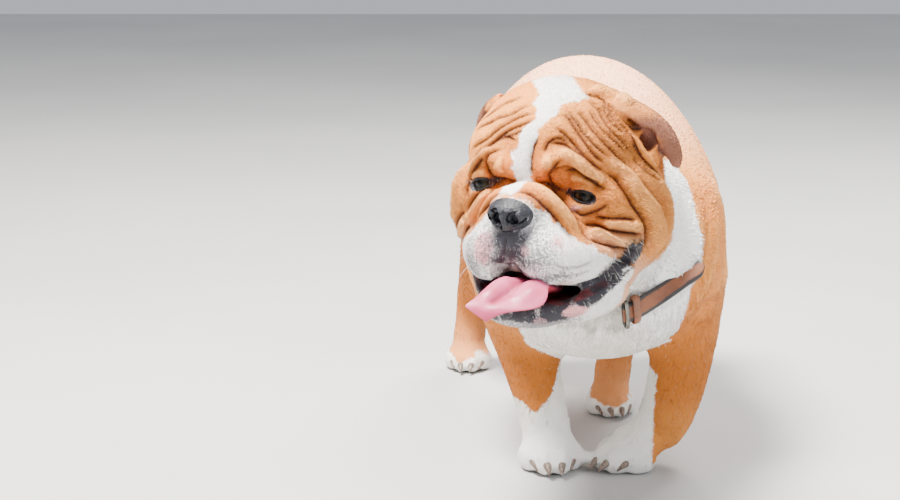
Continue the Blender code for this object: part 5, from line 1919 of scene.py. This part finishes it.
class BULLDOG_OT_collar(bpy.types.Operator):
    """Makes the leather collar with its buckle, keeper and free end"""

    bl_idname = "bulldog.collar"
    bl_label = "Collar"

    def execute(self, context):
        colours = props_of("bulldog_colours")
        leather = leather_material(colours)
        metal = metal_material()
        finish_piece(collar_band_piece(), leather, "collar_leather", "collar_band")
        finish_piece(strap_end_piece(), leather, "collar_leather", "collar_strap_end")
        keeper = frame_round_strap(*KEEPER)
        keeper.name = "collar_loop_keeper"
        store(keeper.data, "rim", np.full(len(keeper.data.vertices), 0.3))
        finish_piece(keeper, leather, "collar_leather", "collar_keeper")
        buckle = frame_round_strap(*BUCKLE)
        buckle.name = "collar_metal_buckle"
        finish_piece(buckle, metal, "buckle_metal", "collar_buckle")
        return {"FINISHED"}


# The stage


def floor_material():
    graph = Graph("floor_paper")
    colour = graph.between(graph.noise(1.5), 0.3, 0.7, FLOOR_DARK, FLOOR_LIGHT)
    graph.set(Base_Color=colour, Roughness=0.85)
    return graph.material


def add_area(name, place, size, power, colour):
    light = bpy.data.lights.new(name, "AREA")
    light.shape = "SQUARE"
    light.size = size
    light.energy = power
    light.color = colour
    obj = add_object(name, light)
    obj.location = place
    obj.rotation_euler = (LIGHT_TARGET - Vector(place)).to_track_quat("-Z", "Y").to_euler()


class BULLDOG_OT_stage(bpy.types.Operator):
    """Makes the floor, the lights and the camera"""

    bl_idname = "bulldog.stage"
    bl_label = "Stage"

    def execute(self, context):
        bm = bmesh.new()
        bmesh.ops.create_grid(bm, x_segments=1, y_segments=1, size=FLOOR_HALF)
        floor = object_from("floor", bm, recalculate=False)
        floor.data.materials.append(floor_material())
        world = bpy.data.worlds.new("studio")
        world.use_nodes = True
        sky = world.node_tree.nodes["Background"].inputs
        sky["Color"].default_value = (*SKY, 1.0)
        sky["Strength"].default_value = SKY_STRENGTH
        bpy.context.scene.world = world
        for name, values in LIGHTS.items():
            add_area(name, *values)
        camera = bpy.data.cameras.new("photo_camera")
        camera.lens = CAMERA_LENS
        camera.sensor_width = CAMERA_SENSOR
        camera.clip_start = 0.05
        obj = add_object("photo_camera", camera)
        ahead = Vector((math.sin(CAMERA_YAW), math.cos(CAMERA_YAW), 0.0)) * math.cos(CAMERA_PITCH)
        ahead.z = -math.sin(CAMERA_PITCH)
        obj.location = CAMERA_PLACE + SHIFT
        obj.rotation_euler = ahead.to_track_quat("-Z", "Y").to_euler()
        bpy.context.scene.camera = obj
        return {"FINISHED"}


STEPS = ["skin", "coat", "eyes", "nose", "tongue", "claws", "whiskers", "collar", "stage"]


class BULLDOG_PT_panel(bpy.types.Panel):
    """Settings and pieces of the bulldog"""

    bl_idname = "BULLDOG_PT_panel"
    bl_label = "English bulldog"
    bl_space_type = "VIEW_3D"
    bl_region_type = "UI"
    bl_category = "Bulldog"

    def draw(self, context):
        for name in ("bulldog_skin", "bulldog_coat", "bulldog_colours"):
            box = self.layout.box()
            settings = getattr(context.scene, name)
            for key in settings.bl_rna.properties.keys():
                if key not in ("rna_type", "name"):
                    box.prop(settings, key)
        for step in STEPS:
            self.layout.operator("bulldog." + step)


CLASSES = [
    BulldogSkinSettings, BulldogCoatSettings, BulldogColourSettings,
    BULLDOG_OT_skin, BULLDOG_OT_coat, BULLDOG_OT_eyes, BULLDOG_OT_nose, BULLDOG_OT_tongue,
    BULLDOG_OT_claws, BULLDOG_OT_whiskers, BULLDOG_OT_collar, BULLDOG_OT_stage, BULLDOG_PT_panel,
]


def register():
    for cls in CLASSES:
        bpy.utils.register_class(cls)
    bpy.types.Scene.bulldog_skin = bpy.props.PointerProperty(type=BulldogSkinSettings)
    bpy.types.Scene.bulldog_coat = bpy.props.PointerProperty(type=BulldogCoatSettings)
    bpy.types.Scene.bulldog_colours = bpy.props.PointerProperty(type=BulldogColourSettings)


def unregister():
    for name in ("bulldog_skin", "bulldog_coat", "bulldog_colours"):
        delattr(bpy.types.Scene, name)
    for cls in reversed(CLASSES):
        bpy.utils.unregister_class(cls)


def main():
    register()
    for step in STEPS:
        getattr(bpy.ops.bulldog, step)()


if __name__ == "__main__":
    main()
